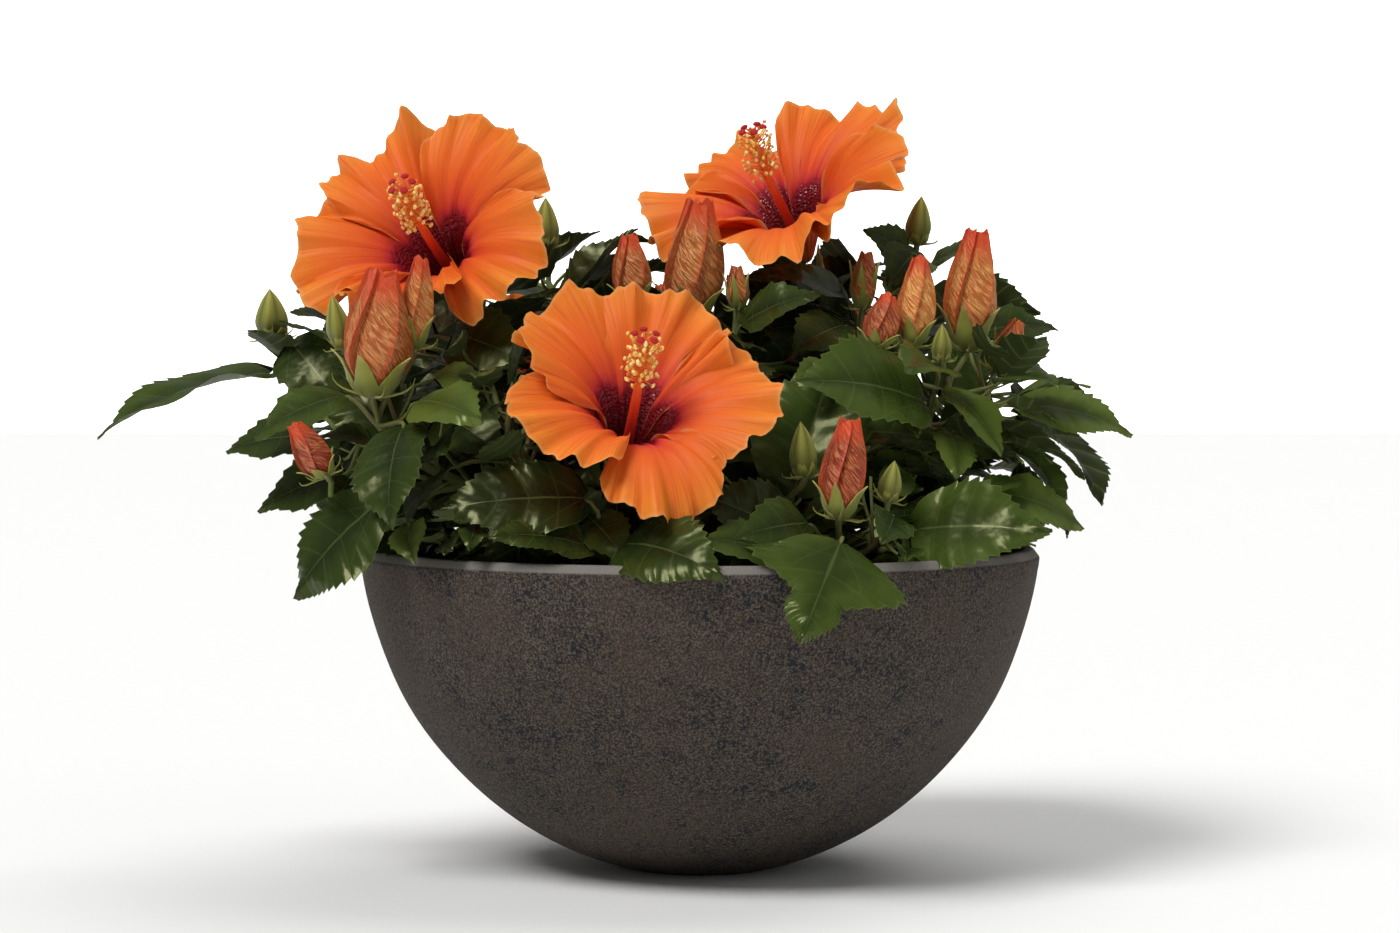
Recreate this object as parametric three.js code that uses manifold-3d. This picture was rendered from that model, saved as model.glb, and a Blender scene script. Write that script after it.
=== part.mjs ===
// A hibiscus in bloom in a wide round bowl: a short trunk, boughs, leafy shoots with buds, and open blooms.
// Millimetres, Z up. The origin is the middle of the bowl's flat underside and the front faces minus Y.
import * as THREE from "three";
import { mergeVertices } from "three/addons/utils/BufferGeometryUtils.js";
import Module from "manifold-3d";

const wasm = await Module();
wasm.setup();

// Driving sizes of the bowl and the soil in it.
const CLEAR = 0.3;
const BOWL_SIDES = 36;
const BOWL_HEIGHT = 142;
const BULGE_RADIUS = 151;
const BULGE_RISE = 159.8;
const BULGE_CENTRE = 156.4;
const BEVEL_START = 138.1;
const BEVEL_INSET = 3;
const WALL = 7;
const FLOOR = 8;
const SOIL_EDGE = 119;
const SOIL_LEVEL = 122;
const SOIL_FLAT = 34;

// Driving sizes of the wood.
const TRUNK_FOOT = [4, 3];
const TRUNK_TOP = [-4, -1, 172];
const TRUNK_FOOT_RADIUS = 9.5;
const TRUNK_TOP_RADIUS = 5.5;
const FLARE = 4.5;
const BOUGH_TIERS = [0.3, 0.52, 0.74];
const BOUGH_SHARE = 0.42;
const BOUGH_LIFT = 0.55;
const TWIG_LIFT = 0.8;
const TWIG_FIRST = 0.22;
const TWIG_STEP = 0.2;
const BOUGH_ROOT_RADIUS = 3.8;
const BOUGH_TIP_RADIUS = 2.7;
const STEM_ROOT_RADIUS = 2.5;
const STEM_TIP_RADIUS = 1.5;
const TWIG_ROOT_RADIUS = 1.9;
const TWIG_TIP_RADIUS = 1.2;
const STALK_RADIUS = 1.2;
const BUD_STALK_RADIUS = 1.3;
const LIMB_ROOM = 0.6;

// Driving sizes of the leaves. A pair is the least and the most that a leaf may have.
const LEAF_THICKNESS = 1.3;
const LEAF_LENGTHS = [52.5, 74.2];
const LEAF_BREADTHS = [0.594, 0.739];
const LEAF_ROLLS = [-0.45, 0.45];
const LEAF_BENDS = [0.35, 0.85];
const LEAF_FOLDS = [0.12, 0.42];
const LEAF_DROOPS = [-0.25, 0.7];
const STALK_LENGTHS = [12, 28];
const LEAF_STEP = 9;
const GOLDEN_ANGLE = 2.399963;
const ANGLE_STRAY = [-0.3, 0.3];

// Room round a leaf, and how a leaf that finds none tries again.
const LEAF_CLEARANCE = 2.7;
const STALK_CLEARANCE = 0.4;
const LEAF_OVER_BOWL = 4;
const STALK_OVER_BOWL = 2;
const LEAF_TRIES = 30;
const TRY_TURN = 0.83;
const TRY_SHORTER = 0.016;
const TRY_FURTHER = 0.5;

// Driving sizes of the crown that the leaves keep within.
const CROWN_TOP = 288;
const CROWN_FOOT = 138;
const CROWN_DOME = 0.00115;
const CROWN_WIDTH = 184;
const CROWN_DEPTH = 165;

// Driving sizes of the blooms. The calyx is pairs of radius and height; the column's heights are shares.
const PETALS = 5;
const PETAL_LENGTH = 75;
const PETAL_ANGLE = 0.76;
const PETAL_THICKNESS = 1.6;
const PETAL_OVERLAP = 2.4;
const PETAL_CLAW = 3.5;
const PETAL_OPEN = 0.36;
const PETAL_SPREAD = 0.95;
const PETAL_DROOP = 0.5;
const COLUMN_LENGTH = 66;
const COLUMN = [[0, 0], [2.4, 0], [2, 0.5], [7.5, 0.62], [7, 0.84], [0, 1]];
const CALYX_LENGTH = 22;
const CALYX = [[0, 0], [4.5, 2], [6.5, 13.2], [7.5, 26], [0, 28]];
const BLOOM_STALK_RADII = [1.5, 2];
const BLOOM_ROOM = 9;
const PETAL_ROOM = 4;

// Each shoot: where its stem ends, how steeply it arrives there, and where its side twigs end.
const SHOOTS = [
  {
    name: "left_front", tier: 1, tip: [-136, -78, 198], rise: 1.2,
    twigs: [[-108, -58, 146], [-157, -70, 168], [-164, -44, 204]],
  },
  {
    name: "left_back", tier: 0, tip: [-108, 16, 226], rise: 1.6,
    twigs: [[-118, -10, 148], [-184, 8, 222], [-140, 40, 196]],
  },
  {
    name: "front_left", tier: 2, tip: [-84, -80, 190], rise: 1.0,
    twigs: [[-76, -92, 145], [-104, -96, 160], [-94, -44, 230], [-62, -54, 212]],
  },
  {
    name: "front_middle", tier: 0, tip: [-40, -54, 152], rise: 0.9,
    twigs: [[-38, -98, 140], [-2, -104, 144], [-58, -76, 146]],
  },
  {
    name: "front_right", tier: 0, tip: [58, -106, 149], rise: 1.1,
    twigs: [[34, -84, 160], [78, -94, 153], [16, -82, 148]],
  },
  {
    name: "right_low", tier: 1, tip: [100, -78, 152], rise: 0.7,
    twigs: [[52, -56, 188], [118, -38, 150], [78, -40, 160]],
  },
  {
    name: "right", tier: 2, tip: [108, -34, 212], rise: 1.5,
    twigs: [[84, 4, 172], [126, -20, 206], [88, -44, 216]],
  },
  {
    name: "back_right", tier: 0, tip: [97, 46, 262], rise: 1.3,
    twigs: [[60, 52, 238], [72, 10, 230], [128, 30, 206]],
  },
  {
    name: "back_low", tier: 1, tip: [88, 92, 186], rise: 0.9,
    twigs: [[52, 88, 176], [122, 66, 164], [112, 24, 150]],
  },
  {
    name: "back_middle", tier: 0, tip: [-14, 92, 214], rise: 1.2,
    twigs: [[16, 108, 150], [26, 74, 232], [-26, 120, 168]],
  },
  {
    name: "back_left", tier: 2, tip: [-69, 40, 260], rise: 1.6,
    twigs: [[-78, 84, 176], [-118, 88, 172], [-112, 58, 150]],
  },
  {
    name: "centre", tip: [-8, -3, 224], rise: 2.0,
    twigs: [[-28, -14, 230], [16, -11, 230], [-30, 26, 206]],
  },
];

// Leaves that stand out: the shoot, the blade's base and tip, its breadth as a share of its length,
// its roll, bend and fold in degrees, and how far it is lobed.
const OUTSTANDING_LEAVES = [
  ["left_back", [-190, -6, 218], [-261, -38, 191], 0.5, 20, 34, 24, 0],
  ["left_back", [-184, 0, 226], [-198, -20, 206], 0.8, 0, 30, 14, 0],
  ["left_back", [-156, -8, 226], [-184, -20, 242], 0.66, 30, 34, 12, 0],
  ["left_front", [-136, -86, 164], [-172, -78, 124], 0.8, 30, 30, 8, 0],
  ["left_front", [-150, -76, 210], [-188, -82, 192], 0.6, 25, 34, 14, 0],
  ["left_front", [-152, -56, 176], [-190, -54, 160], 0.7, 30, 34, 12, 0],
  ["left_front", [-123, -104, 197], [-126, -130, 156], 0.74, 0, 40, 14, 0],
  ["left_front", [-164, -62, 192], [-202, -64, 186], 0.7, 30, 36, 16, 0],
  ["front_left", [-106, -38, 236], [-74, -64, 224], 0.72, -20, 30, 12, 0],
  ["front_left", [-110, -66, 202], [-82, -90, 184], 0.7, 0, 34, 12, 0],
  ["front_middle", [-48, -112, 168], [-110, -120, 163], 0.56, 25, 30, 14, 0],
  ["front_middle", [-46, -104, 160], [-30, -124, 143], 0.7, 0, 30, 12, 0],
  ["front_middle", [-46, -118, 148], [-86, -134, 153], 0.6, 10, 40, 16, 0],
  ["front_middle", [-32, -118, 153], [10, -158, 143], 0.62, -10, 50, 14, 0],
  ["front_right", [57, -136, 151], [40, -170, 114], 0.92, 0, 20, 6, 1],
  ["front_right", [38, -100, 152], [-2, -112, 170], 0.72, 20, 24, 10, 0],
  ["right", [95, -66, 207], [38, -96, 216], 0.72, 15, 34, 12, 0],
  ["right", [138, -24, 205], [190, -18, 192], 0.64, -25, 34, 14, 0],
  ["right", [123, -50, 205], [146, -68, 178], 0.7, -10, 40, 14, 0],
  ["right", [124, 6, 236], [160, 12, 238], 0.66, -30, 44, 14, 0],
  ["right_low", [90, -92, 152], [150, -78, 157], 0.66, -20, 44, 12, 0],
  ["right_low", [128, -56, 168], [166, -44, 152], 0.66, -20, 36, 12, 0],
  ["back_left", [-60, 26, 248], [-28, 30, 284], 0.5, -40, 20, 40, 0],
  ["back_left", [-72, 56, 262], [-46, 66, 284], 0.66, 0, 30, 20, 0],
  ["centre", [18, -22, 240], [52, -36, 254], 0.62, -20, 30, 16, 0],
  ["back_right", [66, 20, 252], [20, 12, 262], 0.72, 25, 40, 12, 0],
  ["back_right", [64, 0, 240], [40, -24, 228], 0.72, 0, 30, 12, 0],
  ["back_right", [74, 56, 266], [52, 84, 270], 0.7, 0, 40, 16, 0],
];

// Two outlines of a bud, as shares of its width and height: furled petals, or still closed in green.
const FURLED = [[0.3, 0.05], [0.5, 0.34], [0.44, 0.62], [0.18, 1]];
const CLOSED = [[0.34, 0.06], [0.5, 0.36], [0.3, 0.74]];

// Buds: the shoot, where the bud's foot and tip are, its width and its outline.
const BUDS = [
  ["left_front", [-137, -88, 209], [-132, -92, 265], 29, FURLED],
  ["left_front", [-120, -80, 229], [-117, -84, 270], 14, FURLED],
  ["left_front", [-150, -76, 230], [-155, -78, 252], 11, CLOSED],
  ["left_front", [-160, -76, 180], [-169, -82, 202], 15, FURLED],
  ["left_back", [-189, 5, 234], [-191, 5, 256], 15, CLOSED],
  ["centre", [-29, -18, 247], [-31, -19, 281], 17, FURLED],
  ["centre", [-5, -6, 240], [0, -8, 298], 26, FURLED],
  ["centre", [17, -14, 246], [16, -15, 267], 10, CLOSED],
  ["right", [116, -27, 228], [121, -26, 284], 23, FURLED],
  ["right", [91, -44, 230], [95, -40, 271], 17, FURLED],
  ["right", [75, -56, 229], [81, -52, 254], 15, FURLED],
  ["right", [129, -18, 219], [140, -18, 243], 16, FURLED],
  ["right", [104, -46, 224], [104, -47, 240], 9, CLOSED],
  ["back_right", [72, 8, 246], [74, 8, 274], 15, CLOSED],
  ["back_right", [99, 50, 277], [101, 50, 299], 12, CLOSED],
  ["front_right", [57, -115, 159], [62, -112, 203], 19, FURLED],
  ["front_right", [44, -96, 176], [42, -92, 199], 12, CLOSED],
  ["front_right", [78, -100, 166], [81, -98, 183], 10, CLOSED],
  ["back_left", [-69, 40, 275], [-70, 40, 298], 12, CLOSED],
  ["back_left", [-118, 96, 190], [-122, 99, 214], 14, CLOSED],
  ["back_middle", [-15, 100, 224], [-17, 104, 262], 17, FURLED],
  ["back_middle", [28, 78, 240], [28, 80, 262], 12, CLOSED],
  ["back_low", [126, 76, 182], [132, 80, 216], 17, FURLED],
];

// Open blooms: the shoot and which of its limbs carries each, the foot of its petals, the way it faces,
// its size, how wide it opens and the turn of its first petal in degrees.
const BLOOMS = [
  {
    name: "front", shoot: "front_middle", end: 0,
    foot: [-32, -78, 183], facing: [0.16, -0.68, 0.72], size: 1, open: 1, turn: 44,
  },
  {
    name: "left", shoot: "left_back", end: 0,
    foot: [-106, -5, 259], facing: [-0.33, -0.8, 0.5], size: 1.03, open: 1, turn: 38,
  },
  {
    name: "upper_right", shoot: "back_right", end: 1,
    foot: [47, 54, 279], facing: [-0.4, -0.3, 0.86], size: 0.96, open: 1.4, turn: 18,
  },
  {
    name: "rear_left", shoot: "back_left", end: 1,
    foot: [-88, 102, 190], facing: [-0.42, 0.76, 0.5], size: 0.9, open: 1.1, turn: 20,
  },
  {
    name: "rear_right", shoot: "back_low", end: 1,
    foot: [50, 112, 188], facing: [0.12, 0.84, 0.52], size: 0.9, open: 1, turn: 50,
  },
];

const UP = new THREE.Vector3(0, 0, 1);
const degrees = THREE.MathUtils.degToRad;
const vector = (list) => new THREE.Vector3(...list);

// Repeatable random numbers from 0 to 1, the same for the same seed.
function seeded(seed) {
  let state = seed >>> 0;
  return () => {
    state = (state + 0x6d2b79f5) >>> 0;
    let mixed = Math.imul(state ^ (state >>> 15), 1 | state);
    mixed = (mixed + Math.imul(mixed ^ (mixed >>> 7), 61 | mixed)) ^ mixed;
    return ((mixed ^ (mixed >>> 14)) >>> 0) / 4294967296;
  };
}

// A share of the way between a least and a most.
const between = ([least, most], share) => least + (most - least) * share;

// The part of one vector that lies square to another, as a unit vector.
function squareTo(wanted, axis) {
  return wanted.clone().addScaledVector(axis, -wanted.dot(axis)).normalize();
}

// A closed solid from a geometry, with its faces turned outward.
function toSolid(geometry) {
  geometry.deleteAttribute("normal");
  geometry.deleteAttribute("uv");
  const merged = mergeVertices(geometry, 1e-4);
  const spots = merged.attributes.position.array;
  const faces = [];
  let volume = 0;
  for (let i = 0; i < merged.index.count; i += 3) {
    const [a, b, c] = [0, 1, 2].map((k) => merged.index.getX(i + k));
    if (a === b || b === c || c === a) {
      continue;
    }
    const [p, q, r] = [a, b, c].map((k) => new THREE.Vector3().fromArray(spots, 3 * k));
    volume += p.dot(q.cross(r));
    faces.push([a, b, c]);
  }
  const outward = volume < 0 ? faces.map(([a, b, c]) => [a, c, b]) : faces;
  const vertProperties = Float32Array.from(spots);
  const triVerts = Uint32Array.from(outward.flat());
  return new wasm.Manifold(new wasm.Mesh({ numProp: 3, vertProperties, triVerts }));
}

// The named mesh of a solid: its one whole body, without loose scrap or sealed hollows.
function toMesh(name, solid, look) {
  const body = solid.decompose().reduce((most, next) => (next.volume() > most.volume() ? next : most));
  const cut = body.getMesh();
  const geometry = new THREE.BufferGeometry();
  geometry.setAttribute("position", new THREE.Float32BufferAttribute(cut.vertProperties, 3));
  geometry.setIndex(new THREE.Uint32BufferAttribute(cut.triVerts, 1));
  geometry.computeVertexNormals();
  const mesh = new THREE.Mesh(geometry, new THREE.MeshStandardMaterial(look));
  mesh.name = name;
  return mesh;
}

// A limb of round section along a share of a curve, its radius running from root to tip.
function limb(curve, from, to, radiusAt, sides, steps) {
  const geometry = new THREE.CylinderGeometry(1, 1, 1, sides, steps);
  const rings = [];
  let across = squareTo(new THREE.Vector3(0.31, 0.95, 0.05), curve.getTangentAt(from));
  for (let i = 0; i <= steps; i += 1) {
    const share = from + ((to - from) * i) / steps;
    const along = curve.getTangentAt(share);
    across = squareTo(across, along);
    const over = along.clone().cross(across);
    rings.push({ spot: curve.getPointAt(share), across, over, radius: radiusAt(i / steps) });
  }
  const spots = geometry.attributes.position;
  for (let k = 0; k < spots.count; k += 1) {
    const ring = rings[Math.round((spots.getY(k) + 0.5) * steps)];
    const spot = ring.spot.clone();
    spot.addScaledVector(ring.across, spots.getX(k) * ring.radius);
    spot.addScaledVector(ring.over, spots.getZ(k) * ring.radius);
    spots.setXYZ(k, spot.x, spot.y, spot.z);
  }
  return toSolid(geometry);
}

const taper = (root, tip) => (share) => between([root, tip], share);

// A curve that leaves one spot along a direction and reaches another along a second direction.
function sweep(start, leaving, end, arriving) {
  const reach = start.distanceTo(end);
  const first = start.clone().addScaledVector(leaving, reach * 0.38);
  const second = end.clone().addScaledVector(arriving, -reach * 0.36);
  return new THREE.CubicBezierCurve3(start, first, second, end);
}

// A round body turned about an axis that leaves a foot, from pairs of radius and height.
function turned(profile, sides, foot, axis) {
  const geometry = new THREE.LatheGeometry(profile.map(([r, h]) => new THREE.Vector2(r, h)), sides);
  geometry.applyQuaternion(new THREE.Quaternion().setFromUnitVectors(new THREE.Vector3(0, 1, 0), axis));
  geometry.translate(foot.x, foot.y, foot.z);
  return toSolid(geometry);
}

// A thin closed blade from rows of spots across it. Its rim is sharp and its inner spots stand apart.
function blade(rows, thicknessAt) {
  const spots = [];
  const upper = [];
  const lower = [];
  const inner = (i, j) => i > 0 && i < rows.length - 1 && j > 0 && j < rows[i].length - 1;
  const near = (row, j) => row[row.length > 1 ? j : 0];
  const push = (spot) => spots.push(spot) - 1;
  rows.forEach((row, i) => {
    upper.push([]);
    lower.push([]);
    row.forEach((spot, j) => {
      if (!inner(i, j)) {
        upper[i].push(push(spot));
        lower[i].push(upper[i][j]);
        return;
      }
      const ahead = near(rows[i + 1], j).clone().sub(near(rows[i - 1], j));
      const facing = ahead.cross(row[j + 1].clone().sub(row[j - 1])).normalize();
      upper[i].push(push(spot.clone().addScaledVector(facing, thicknessAt(i) / 2)));
      lower[i].push(push(spot.clone().addScaledVector(facing, -thicknessAt(i) / 2)));
    });
  });
  const faces = [];
  const face = (corners) => {
    faces.push(corners.map(([i, j]) => upper[i][j]));
    faces.push(corners.map(([i, j]) => lower[i][j]).reverse());
  };
  for (let i = 0; i + 1 < rows.length; i += 1) {
    const wide = Math.max(rows[i].length, rows[i + 1].length);
    for (let j = 0; j + 1 < wide; j += 1) {
      if (rows[i].length === 1) {
        face([[i, 0], [i + 1, j], [i + 1, j + 1]]);
      } else if (rows[i + 1].length === 1) {
        face([[i, j], [i + 1, 0], [i, j + 1]]);
      } else if (inner(i, j) || inner(i + 1, j + 1)) {
        face([[i, j], [i + 1, j], [i + 1, j + 1]]);
        face([[i, j], [i + 1, j + 1], [i, j + 1]]);
      } else {
        face([[i, j], [i + 1, j], [i, j + 1]]);
        face([[i + 1, j], [i + 1, j + 1], [i, j + 1]]);
      }
    }
  }
  const geometry = new THREE.BufferGeometry().setFromPoints(spots);
  geometry.setIndex(faces.flat());
  return toSolid(geometry);
}

// The bowl's round wall at a height, set in from its outside by a depth.
function wallRadius(height, depth) {
  const share = (BULGE_CENTRE - height) / (BULGE_RISE - depth);
  return (BULGE_RADIUS - depth) * Math.sqrt(Math.max(0, 1 - share * share));
}

// Pairs of radius and height along that wall between two heights, evenly round the arc.
function wallArc(depth, low, high, steps) {
  const rise = BULGE_RISE - depth;
  const start = Math.asin((BULGE_CENTRE - low) / rise);
  const end = Math.asin((BULGE_CENTRE - high) / rise);
  const arc = [];
  for (let i = 0; i <= steps; i += 1) {
    const angle = start + ((end - start) * i) / steps;
    arc.push([(BULGE_RADIUS - depth) * Math.cos(angle), BULGE_CENTRE - rise * Math.sin(angle)]);
  }
  return arc;
}

// The bowl: a round shell with a flat foot, and a bevelled lip above the bulge.
function makeBowl() {
  const outside = wallArc(0, 0, BEVEL_START, 8);
  const lip = [
    [wallRadius(BEVEL_START, 0) - BEVEL_INSET, BOWL_HEIGHT],
    [wallRadius(BOWL_HEIGHT, WALL), BOWL_HEIGHT],
  ];
  const inside = wallArc(WALL, FLOOR, SOIL_EDGE, 5).reverse();
  return turned([[0, 0], ...outside, ...lip, ...inside, [0, FLOOR]], BOWL_SIDES, new THREE.Vector3(), UP);
}

// The soil fills the bowl to a little below the lip and lies level round the trunk.
function makeSoil() {
  const side = wallArc(WALL + CLEAR, FLOOR + CLEAR, SOIL_EDGE, 5);
  const profile = [[0, FLOOR + CLEAR], ...side, [SOIL_FLAT, SOIL_LEVEL], [0, SOIL_LEVEL]];
  return turned(profile, BOWL_SIDES, new THREE.Vector3(), UP);
}

// Whether a spot stays clear of the bowl and the soil by a margin.
function clearOfBowl(spot, margin) {
  if (spot.z > BOWL_HEIGHT + margin) {
    return true;
  }
  const reach = Math.hypot(spot.x, spot.y);
  const within = reach < wallRadius(spot.z, WALL) - margin && spot.z > SOIL_LEVEL + margin;
  return within || reach > wallRadius(spot.z, 0) + margin;
}

// Whether a spot lies under the crown's dome and inside its spread.
function insideCrown(spot) {
  const spread = (spot.x / CROWN_WIDTH) ** 2 + (spot.y / CROWN_DEPTH) ** 2;
  const reach = Math.hypot(spot.x, spot.y);
  const overRim = reach < BULGE_RADIUS - WALL || spot.z > CROWN_FOOT;
  return spread < 1 && overRim && spot.z < CROWN_TOP - CROWN_DOME * reach * reach;
}

// Everything grown so far, as balls sorted into cells, which a new leaf must not come near.
const CELL = 18;
const cells = new Map();
const cellOf = (spot) => [spot.x, spot.y, spot.z].map((length) => Math.floor(length / CELL));

function take(spot, radius, owner) {
  const key = cellOf(spot).join();
  cells.set(key, [...(cells.get(key) ?? []), { spot, radius, owner }]);
}

function isFree(spot, radius, owner) {
  const [x, y, z] = cellOf(spot);
  const steps = [-1, 0, 1];
  const near = steps.flatMap((i) => steps.flatMap((j) => steps.map((k) => [x + i, y + j, z + k].join())));
  const balls = near.flatMap((key) => cells.get(key) ?? []);
  return balls.every((ball) => ball.owner === owner || ball.spot.distanceTo(spot) > ball.radius + radius);
}

function takeLimb(curve, from, to, radius, owner) {
  const steps = Math.ceil((curve.getLength() * (to - from)) / 4);
  for (let i = 0; i <= steps; i += 1) {
    take(curve.getPointAt(from + ((to - from) * i) / steps), radius, owner);
  }
}

// The trunk: one leaning, tapering stem with a flare at the soil, cut flat there.
const trunkFoot = new THREE.Vector3(...TRUNK_FOOT, SOIL_LEVEL + CLEAR);
const trunkCurve = sweep(trunkFoot, UP, vector(TRUNK_TOP), UP);
const trunkRadius = (share) => {
  return TRUNK_FOOT_RADIUS + (TRUNK_TOP_RADIUS - TRUNK_FOOT_RADIUS) * share + FLARE * Math.exp(-7 * share);
};
takeLimb(trunkCurve, 0, 1, TRUNK_FOOT_RADIUS + 1, "trunk");

// Each shoot's stem springs from the trunk, in tiers round it, and the last one carries the trunk on upward.
SHOOTS.forEach((shoot, place) => {
  const tip = vector(shoot.tip);
  const leader = shoot.tier === undefined;
  const start = trunkCurve.getPointAt(leader ? 1 : BOUGH_TIERS[shoot.tier]);
  const outward = tip.clone().sub(start).setZ(0).normalize();
  const leaving = leader ? UP : outward.clone().addScaledVector(UP, BOUGH_LIFT).normalize();
  const arriving = outward.clone().addScaledVector(UP, shoot.rise).normalize();
  shoot.seed = place + 1;
  shoot.curve = sweep(start, leaving, tip, arriving);
  shoot.from = leader ? CLEAR / shoot.curve.getLength() : 0;
  shoot.stemFrom = BOUGH_SHARE + CLEAR / shoot.curve.getLength();
  shoot.limbs = [
    { curve: shoot.curve, from: shoot.stemFrom, root: STEM_ROOT_RADIUS, tip: STEM_TIP_RADIUS, sides: 5 },
  ];
  shoot.twigs.forEach((end, k) => {
    const share = BOUGH_SHARE + (1 - BOUGH_SHARE) * (TWIG_FIRST + TWIG_STEP * k);
    const fork = shoot.curve.getPointAt(share);
    const along = shoot.curve.getTangentAt(share);
    const reach = vector(end).sub(fork).normalize();
    const arrival = reach.clone().addScaledVector(UP, TWIG_LIFT).normalize();
    const curve = sweep(fork, along.add(reach).normalize(), vector(end), arrival);
    shoot.limbs.push({ curve, from: 0, root: TWIG_ROOT_RADIUS, tip: TWIG_TIP_RADIUS, sides: 3 });
  });
  takeLimb(shoot.curve, 0.1, BOUGH_SHARE, BOUGH_ROOT_RADIUS + LIMB_ROOM, "bough_" + shoot.name);
  shoot.limbs.forEach((part) => takeLimb(part.curve, part.from, 1, part.root + LIMB_ROOM, shoot.name));
  shoot.solids = shoot.limbs.map((part) => {
    return limb(part.curve, part.from, 1, taper(part.root, part.tip), part.sides, 4);
  });
});
const shootNamed = (name) => SHOOTS.find((shoot) => shoot.name === name);

// The half width of a leaf along its length, as a share of its widest, with side lobes where it has them.
function leafOutline(share, lobe) {
  const plain = (share ** 0.52 * (1 - share) ** 0.95) / 0.385;
  const side = Math.exp(-(((share - 0.36) / 0.11) ** 2)) - 1.6 * Math.exp(-(((share - 0.6) / 0.13) ** 2));
  return plain * (1 + 0.22 * lobe * side);
}

// A spot on a leaf, by the share along its midrib and the share across from edge to edge.
function leafSpot(leaf, along, across) {
  const turn = leaf.bend * along;
  const half = 0.5 * leaf.width * leafOutline(along, leaf.lobe);
  const lift = Math.abs(across) * half * Math.sin(leaf.fold);
  const ahead = (leaf.length * Math.sin(turn)) / leaf.bend + lift * Math.sin(turn);
  const rise = lift * Math.cos(turn) - (leaf.length * (1 - Math.cos(turn))) / leaf.bend;
  const spot = leaf.base.clone().addScaledVector(leaf.ahead, ahead).addScaledVector(leaf.facing, rise);
  return spot.addScaledVector(leaf.side, across * half * Math.cos(leaf.fold));
}

// A leaf with its base and tip given: it turns its face up and outward, then rolls about its length.
function leafBetween(base, tip, breadth, roll, bend, fold, lobe) {
  const chord = tip.clone().sub(base);
  const along = chord.clone().normalize();
  const outward = base.clone().setZ(0).normalize();
  const level = squareTo(outward.multiplyScalar(0.6).addScaledVector(UP, 0.8), along);
  const facing = level.clone().applyAxisAngle(along, -roll);
  const length = (chord.length() * bend * 0.5) / Math.sin(bend * 0.5);
  const ahead = along.clone().multiplyScalar(Math.cos(bend / 2)).addScaledVector(facing, Math.sin(bend / 2));
  const over = facing.clone().multiplyScalar(Math.cos(bend / 2)).addScaledVector(along, -Math.sin(bend / 2));
  const side = over.clone().cross(ahead);
  return { base, length, width: length * breadth, bend, fold, lobe, ahead, facing: over, side };
}

// The balls that stand for a leaf: seven across and nine along.
function leafBalls(leaf) {
  const spots = [];
  for (let i = 1; i <= 9; i += 1) {
    for (let j = -3; j <= 3; j += 1) {
      spots.push(leafSpot(leaf, i / 9, j / 3));
    }
  }
  return spots;
}

// A leaf in one piece with its stalk, which starts at a node inside a limb.
function makeLeaf(leaf, node) {
  const foot = [-1, 0, 1].map((side) => leaf.base.clone().addScaledVector(leaf.side, side * STALK_RADIUS));
  const rows = [[node], foot];
  [0.2, 0.6].forEach((along) => rows.push([-1, 0, 1].map((across) => leafSpot(leaf, along, across))));
  rows.push([leafSpot(leaf, 1, 0)]);
  return blade(rows, (row) => (row < 2 ? 2 * STALK_RADIUS : LEAF_THICKNESS));
}

// A leaf joins its shoot, and from then on its room is taken.
function addLeaf(shoot, leaf, node) {
  shoot.solids.push(makeLeaf(leaf, node));
  leafBalls(leaf).forEach((spot) => take(spot, LEAF_CLEARANCE, "leaf"));
  takeLimb(new THREE.LineCurve3(node, leaf.base), 0.15, 1, STALK_RADIUS + STALK_CLEARANCE, "leaf");
}

// The place on a shoot's limbs that lies nearest a spot.
function nearestNode(shoot, spot) {
  let best = null;
  shoot.limbs.forEach((part) => {
    for (let i = 1; i <= 20; i += 1) {
      const node = part.curve.getPointAt(part.from + ((1 - part.from) * i) / 20.2);
      if (best === null || node.distanceTo(spot) < best.distanceTo(spot)) {
        best = node;
      }
    }
  });
  return best;
}

// The way out from a bloom's axis at an angle round it.
function roundBloom(bloom, angle) {
  return bloom.across.clone().multiplyScalar(Math.cos(angle)).addScaledVector(bloom.over, Math.sin(angle));
}

// A spot on a petal of a bloom, by the share along it and the share across from edge to edge.
function petalSpot(bloom, petal, along, across) {
  const angle = degrees(bloom.turn + (360 / PETALS) * petal);
  const out = roundBloom(bloom, angle);
  const start = PETAL_OPEN * bloom.open;
  const spread = PETAL_SPREAD * bloom.open + PETAL_DROOP * Math.max(0, out.dot(bloom.hanging));
  const tilt = start + spread * along;
  const length = PETAL_LENGTH * bloom.size;
  const reach = PETAL_CLAW + (length * (Math.cos(start) - Math.cos(tilt))) / spread;
  const height = (length * (Math.sin(tilt) - Math.sin(start))) / spread;
  const narrowing = Math.sqrt(Math.max(0, 1 - Math.max(0, (along - 0.6) / 0.4) ** 2.6));
  const turn = angle + across * PETAL_ANGLE * narrowing;
  const round = roundBloom(bloom, turn);
  const lift = PETAL_OVERLAP * across * Math.min(1, 2 * along);
  const spot = bloom.foot.clone().addScaledVector(bloom.axis, height + lift * Math.sin(tilt));
  return spot.addScaledVector(round, reach - lift * Math.cos(tilt));
}

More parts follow.
